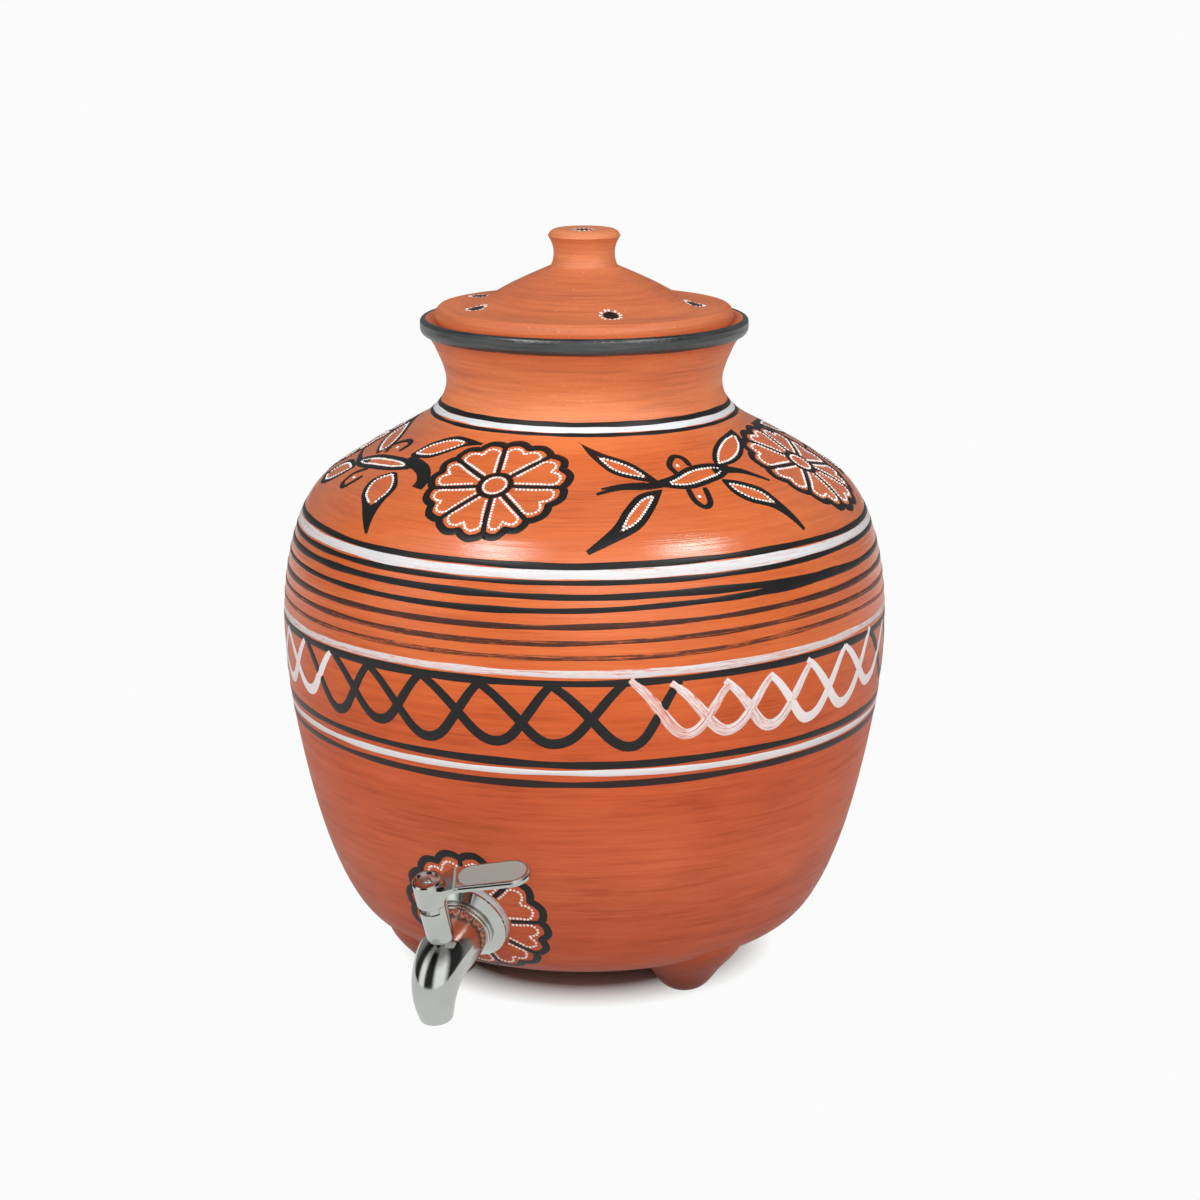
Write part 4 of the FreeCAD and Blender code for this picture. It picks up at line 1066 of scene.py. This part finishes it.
def sprig(outline, dots, middle, drawing):
    def drawn(points):
        return [outline.wall.press(middle, right * MM, above * MM) for right, above in points]

    drawn_leaves, drawn_stems, drawn_loops, drawn_dots = drawing
    for upper, lower, opening in drawn_leaves:
        leaf(outline, dots, middle, upper, lower, opening)
    for stem, thin, thick in drawn_stems:
        path = smooth_path(drawn(stem), outline.wall)
        outline.stroke(path, lambda share: (thin + (thick - thin) * share) * MM)
    for loop in drawn_loops:
        outline.stroke(smooth_path(drawn(loop), outline.wall), lifted(LOOP_WIDTH, 0.9, 0.7))
    for spot in drawn(drawn_dots):
        dots.dot(*spot, LOOP_DOT)


sprig_places = ((52.3, 240.7, right_sprig), (142.0, 240.5, left_sprig), (232.0, 241.0, right_sprig),
                (-38.0, 240.7, left_sprig))
sprig_black = Skin(pot_wall)
sprig_dots = Skin(pot_wall, lift=0.1)
for angle, height, drawing in sprig_places:
    sprig(sprig_black, sprig_dots, (angle, pot_wall.up_at(height * MM)), drawing)
sprig_black.finish("sprig_outlines", black_slip, "pot")
sprig_dots.finish("sprig_dots", dot_slip, "pot")

# %% [markdown]
# ## The flower behind the tap
#
# The tap sits in the middle of one more flower. Its strokes stop short of the hole's flat, so
# that nothing is painted under the washer. The flat's radius comes from the washer's own box.

# %% Tap flower
washer_low, washer_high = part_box("outer_washer")
washer_radius = (washer_high.x - washer_low.x) / 2
tap_height = (washer_low.z + washer_high.z) / 2
tap_gaps = (2.8, 44.4, 89.4, 135.0, 180.0, 226.0, 284.0, 326.6)


def tap_reach(angle):
    """Wider to the right and above than below."""
    return 35.4 + 2.0 * math.cos(math.radians(angle)) + 0.6 * math.sin(math.radians(angle))


tap_black = Skin(pot_wall)
tap_dots = Skin(pot_wall, lift=0.1)
flower(tap_black, tap_dots, (0.0, pot_wall.up_at(tap_height)), tap_reach, tap_gaps, washer_radius / MM + 1.2)
tap_black.finish("tap_flower_outlines", black_slip, "pot")
tap_dots.finish("tap_flower_dots", dot_slip, "pot")

# %% [markdown]
# ## Spots on the lid
#
# Six black spots with a ring of white dashes sit around the lid's flange: short crossed strokes
# with dashes around them. The seventh is on top of the knob, which is nearly flat, so it is laid
# there as a flat star. They all ride on the lid, so they lift off with it.

# %% Lid spots
# angle from the tap in degrees and distance from the axis in millimetres
lid_spots = ((-94.0, 56.0), (-44.0, 52.0), (39.0, 49.0), (108.0, 50.5), (165.0, 52.0), (-140.0, 52.0))
knob_spot = (20.0, 5.0)
knob_top = lid_high.z
lid_black = Skin(lid_wall)
lid_white = Skin(lid_wall)


def from_middle(middle, reach, turn):
    """The place on the lid that lies so many millimetres from a spot's middle, in a direction."""
    return lid_wall.press(middle, reach * MM * math.cos(turn), reach * MM * math.sin(turn))


def lid_spot(middle, size):
    """A blob of black with short white dashes standing around it."""
    width = size * hand.uniform(0.95, 1.1)
    for angle in (0, 60, 120):
        turn = math.radians(angle + hand.uniform(-12, 12))
        ends = [from_middle(middle, reach * width, turn) for reach in (-0.92, -0.3, 0.3, 0.92)]
        lid_black.stroke(smooth_path(ends, lid_wall), 1.08 * width * MM)
    count = 13
    for number in range(count):
        turn = math.radians(360 / count * number + hand.uniform(-7, 7))
        tip = 1.5 + hand.uniform(0, 0.12)
        ends = [from_middle(middle, reach * size, turn) for reach in (1.12, 1.28, tip)]
        lid_white.stroke(smooth_path(ends, lid_wall), 1.0 * MM)


def lid_up_at(radius):
    """Distance along the lid's outline to where it has come in to a radius."""
    inward = range(int(np.argmax(lid_wall.radii)), len(lid_wall.radii))
    after = next(number for number in inward if lid_wall.radii[number] < radius)
    return float(np.interp(radius, lid_wall.radii[[after, after - 1]], lid_wall.ups[[after, after - 1]]))


for angle, radius in lid_spots:
    lid_spot((angle, lid_up_at(radius * MM)), 3.4)
lid_black.finish("lid_spots", black_slip, "lid")
lid_white.finish("lid_dashes", dot_slip, "lid")


def flat_star(name, finish, radii, height):
    """A crowned blob or ring of dashes that lies flat on top of the knob."""
    corners, faces = [], []
    inner, outer, points = radii
    for number in range(points):
        turn = math.tau * number / points + hand.uniform(-0.1, 0.1)
        wide = math.pi / points * (0.42 if inner else 1.02)
        rim = outer * hand.uniform(0.86, 1.12)
        row = []
        for reach, rise in ((inner, 0.4), ((inner + outer) / 2, 1.0), (rim, 0.1)):
            for side in (-wide, wide):
                row.append(len(corners))
                corners.append((knob_middle[0] + reach * MM * math.cos(turn + side),
                                knob_middle[1] + reach * MM * math.sin(turn + side),
                                knob_top + height * rise * MM))
        faces += [(row[0], row[1], row[3], row[2]), (row[2], row[3], row[5], row[4])]
    piece = add_mesh(name, corners, faces)
    piece.data.uv_layers.new(name="brush")
    cover = piece.data.attributes.new("cover", "FLOAT", "POINT")
    cover.data.foreach_set("value", [1.0] * len(corners))
    finish.wear(piece)
    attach(piece, "lid")


knob_turn = math.radians(knob_spot[0])
knob_middle = (knob_spot[1] * MM * math.sin(knob_turn), -knob_spot[1] * MM * math.cos(knob_turn))
flat_star("knob_spot", black_slip, (0.0, 3.5, 14), 0.25)
flat_star("knob_dashes", dot_slip, (3.9, 5.3, 13), 0.25)
print("spots on the lid:", len(lid_spots), "and one on the knob")

# %% [markdown]
# ## Floor and backdrop
#
# The pot stands on a white sweep. Near the pot the floor has to take the pot's soft shadow, and
# further out it should melt into white. The floor's finish therefore fades, with distance from
# the pot, from matt paper to a glow. The paper is tinted warm as painted light: it stands in for
# the red light that terracotta throws on what it stands on. Mirrors see a slightly dimmer glow,
# and further out they look through the floor into the room, because a real table ends somewhere.

# %% Floor
BACKDROP = linear(250, 251, 250)
# the paper's warm tint is painted light: red light bounced from the clay, seen only near the pot
PAPER_WITH_PAINTED_BOUNCE = linear(228, 190, 176)
# distances from the pot's axis, in metres: where paper turns to glow, and where mirrors see an end
GLOW_FROM, TABLE_EDGE = (0.062, 0.090), (0.45, 0.80)
MIRRORED_GLOW = 0.80
rings, spokes = (0.3, 0.6, 1.0, 2.0, 6.0, 30.0), 64
angles = [math.tau * number / spokes for number in range(spokes)]
floor_corners = [(0.0, 0.0, 0.0)]
for radius in rings:
    floor_corners += [(radius * math.cos(angle), radius * math.sin(angle), 0.0) for angle in angles]
floor_faces = []
for spoke in range(spokes):
    following = (spoke + 1) % spokes
    floor_faces.append((0, 1 + spoke, 1 + following))
    for ring in range(len(rings) - 1):
        near = 1 + ring * spokes
        far = near + spokes
        floor_faces.append((near + spoke, far + spoke, far + following, near + following))
floor = add_mesh("floor", floor_corners, floor_faces)

sweep = Finish("white sweep", 0.9, Specular_IOR_Level=0.1)
sweep.shader.inputs["Base Color"].default_value = PAPER_WITH_PAINTED_BOUNCE
paper = sweep.noise(sweep.place((300, 300, 300)), 3)
sweep.feed("Normal", sweep.bump(paper, 0.00005))
distance = sweep.node("VectorMath", operation="LENGTH")
sweep.link(sweep.node("TexCoord").outputs["Object"], distance.inputs[0])
rays = sweep.node("LightPath").outputs
glow = sweep.node("Emission")
glow.inputs["Color"].default_value = BACKDROP
sweep.link(sweep.spread(rays["Is Glossy Ray"], 0.0, 1.0, 1.0, MIRRORED_GLOW), glow.inputs["Strength"])
glowing = sweep.math("MULTIPLY", sweep.spread(distance.outputs["Value"], *GLOW_FROM),
                     sweep.math("MAXIMUM", rays["Is Camera Ray"], rays["Is Glossy Ray"]))
ended = sweep.math("MULTIPLY", sweep.spread(distance.outputs["Value"], *TABLE_EDGE),
                   rays["Is Glossy Ray"])
table = sweep.blend(glowing, sweep.shader.outputs["BSDF"], glow.outputs["Emission"])
table = sweep.blend(ended, table, sweep.node("BsdfTransparent").outputs["BSDF"])
sweep.link(table, sweep.tree.nodes["Material Output"].inputs["Surface"])
sweep.wear(floor)
print("floor ready")

# %% [markdown]
# ## World
#
# The world is the studio's air: it fills the shadows softly, and the camera sees it as white.
# The steel mirrors it too, and chrome looks like chrome only when it mirrors dark as well as
# light. So mirrored rays see a dim room with bright windows, which darkens towards its ceiling. A
# window is a stretch of compass directions, measured from the tap. Its edges are soft, so that
# the streaks on the tap are soft too.

# %% World
DIM, BEHIND, BRIGHT = 0.03, 0.26, 1.15
# compass direction from the tap in degrees, and brightness
windows = ((-180, BEHIND), (-104, BEHIND), (-88, DIM), (-66, DIM), (-52, BRIGHT), (-36, BRIGHT), (-24, DIM),
           (8, DIM), (24, BRIGHT), (60, BRIGHT), (80, DIM), (110, DIM), (124, BEHIND), (180, BEHIND))
# sine of the elevation, and how far the windows give way to one even grey: below and overhead
evenness = ((-1.0, 1.0), (-0.14, 1.0), (-0.06, 0.0), (0.85, 0.0), (0.97, 1.0), (1.0, 1.0))
EVEN_GREY = (0.92, 0.92, 0.92, 1.0)
# sine of the elevation, and how bright the room is there: it darkens towards the ceiling
height_shade = ((-1.0, 1.0), (0.45, 1.0), (0.80, 0.25), (1.0, 0.25))
WHITE = (1.0, 1.0, 1.0, 1.0)
FILL = 0.24     # strength of the light that fills the shadows

world = bpy.data.worlds.new("studio")
bpy.context.scene.world = world
world.use_nodes = True
air = Graph(world.node_tree)
air.tree.nodes.clear()


def background(strength, colour):
    """Light from all around. Its colour is a value or a socket."""
    light = air.node("Background")
    light.inputs["Strength"].default_value = strength
    if isinstance(colour, tuple):
        light.inputs["Color"].default_value = colour
    else:
        air.link(colour, light.inputs["Color"])
    return light.outputs["Background"]


def greys(value, low, high, stops):
    """Look a value between low and high up in a row of (value, brightness) stops."""
    return air.ramp(air.spread(value, low, high),
                    [((place - low) / (high - low), (grey, grey, grey, 1.0)) for place, grey in stops])


way = air.node("SeparateXYZ")
air.link(air.node("TexCoord").outputs["Generated"], way.inputs["Vector"])
compass = air.math("ARCTAN2", way.outputs["X"], air.math("MULTIPLY", way.outputs["Y"], -1.0))
panes = greys(compass, -math.pi, math.pi, [(math.radians(turn), grey) for turn, grey in windows])
room = air.mix(greys(way.outputs["Z"], -1.0, 1.0, evenness), panes, EVEN_GREY)
room = air.mix(1.0, room, greys(way.outputs["Z"], -1.0, 1.0, height_shade), "MULTIPLY")
rays = air.node("LightPath").outputs
seen = air.blend(rays["Is Glossy Ray"], background(FILL, WHITE), background(1.0, room))
seen = air.blend(rays["Is Camera Ray"], seen, background(1.0, BACKDROP))
air.link(seen, air.node("OutputWorld").inputs["Surface"])
print("world ready")

# %% [markdown]
# ## Camera
#
# The camera stands a good metre away, above the pot's rim, and looks down at it a little. It is
# placed by its distance, its height, its turn around the pot and a small step aside. The tap
# faces -Y, and the camera stands 25 degrees to its right.

# %% Camera
CAMERA_TURN = math.radians(25)
CAMERA_DISTANCE = 1.2334
CAMERA_HEIGHT = 0.4739
CAMERA_ASIDE = 0.00718
CAMERA_TILT = math.radians(13.95)
camera_data = bpy.data.cameras.new("camera")
camera_data.sensor_width = 36
camera_data.lens = 81.29
camera = add("camera", camera_data)
cosine, sine = math.cos(CAMERA_TURN), math.sin(CAMERA_TURN)
camera.location = (CAMERA_ASIDE * cosine + CAMERA_DISTANCE * sine,
                   CAMERA_ASIDE * sine - CAMERA_DISTANCE * cosine, CAMERA_HEIGHT)
camera.rotation_euler = (math.pi / 2 - CAMERA_TILT, 0, CAMERA_TURN)
bpy.context.scene.camera = camera
print("camera at", [round(value, 3) for value in camera.location])

# %% [markdown]
# ## Lamps
#
# Two soft boxes stand left and right of the camera and shine down at half a right angle. They
# give the shoulder its two soft highlights. A broad box in front stands lower and lights neck,
# belly and tap, and a faint box on each side keeps the edges from going dark. Those three are
# left out of all reflections. The polished steel is kept out of the key boxes' light, as a
# photographer would do with a flag, because round lamps mirrored in a small tap look like spots
# of glare.


# %% Lamps
def soft_box(name, turn, distance, height, size, power):
    """A round lamp that looks at the pot's middle. Turn is in degrees from the camera."""
    data = bpy.data.lights.new(name, "AREA")
    data.shape = "DISK"
    data.size = size
    data.energy = power
    lamp = add(name, data)
    angle = CAMERA_TURN + math.radians(turn)
    lamp.location = (distance * math.sin(angle), -distance * math.cos(angle), height)
    lamp.rotation_euler = (Vector((0, 0, 0.17)) - lamp.location).to_track_quat("-Z", "Y").to_euler()
    return lamp


key_boxes = (soft_box("left key box", -41, 1.1, 1.27, 0.44, 8.8),
             soft_box("right key box", 51, 1.1, 1.22, 0.44, 8.2))
soft_box("front box", -2, 1.6, 1.0, 1.1, 11.9).visible_glossy = False
soft_box("left box", -95, 1.3, 1.1, 0.7, 0.7).visible_glossy = False
soft_box("right box", 110, 1.3, 1.2, 0.6, 0.5).visible_glossy = False

flagged = bpy.data.collections.new("kept from the key boxes")
for part in frame["record"]["subparts"]:
    if part["material_slot"] == "polished_steel":
        flagged.objects.link(nodes[part["node"]])
for entry in flagged.collection_objects:
    entry.light_linking.link_state = "EXCLUDE"
for box in key_boxes:
    box.light_linking.receiver_collection = flagged

bpy.context.scene.view_settings.view_transform = "Standard"
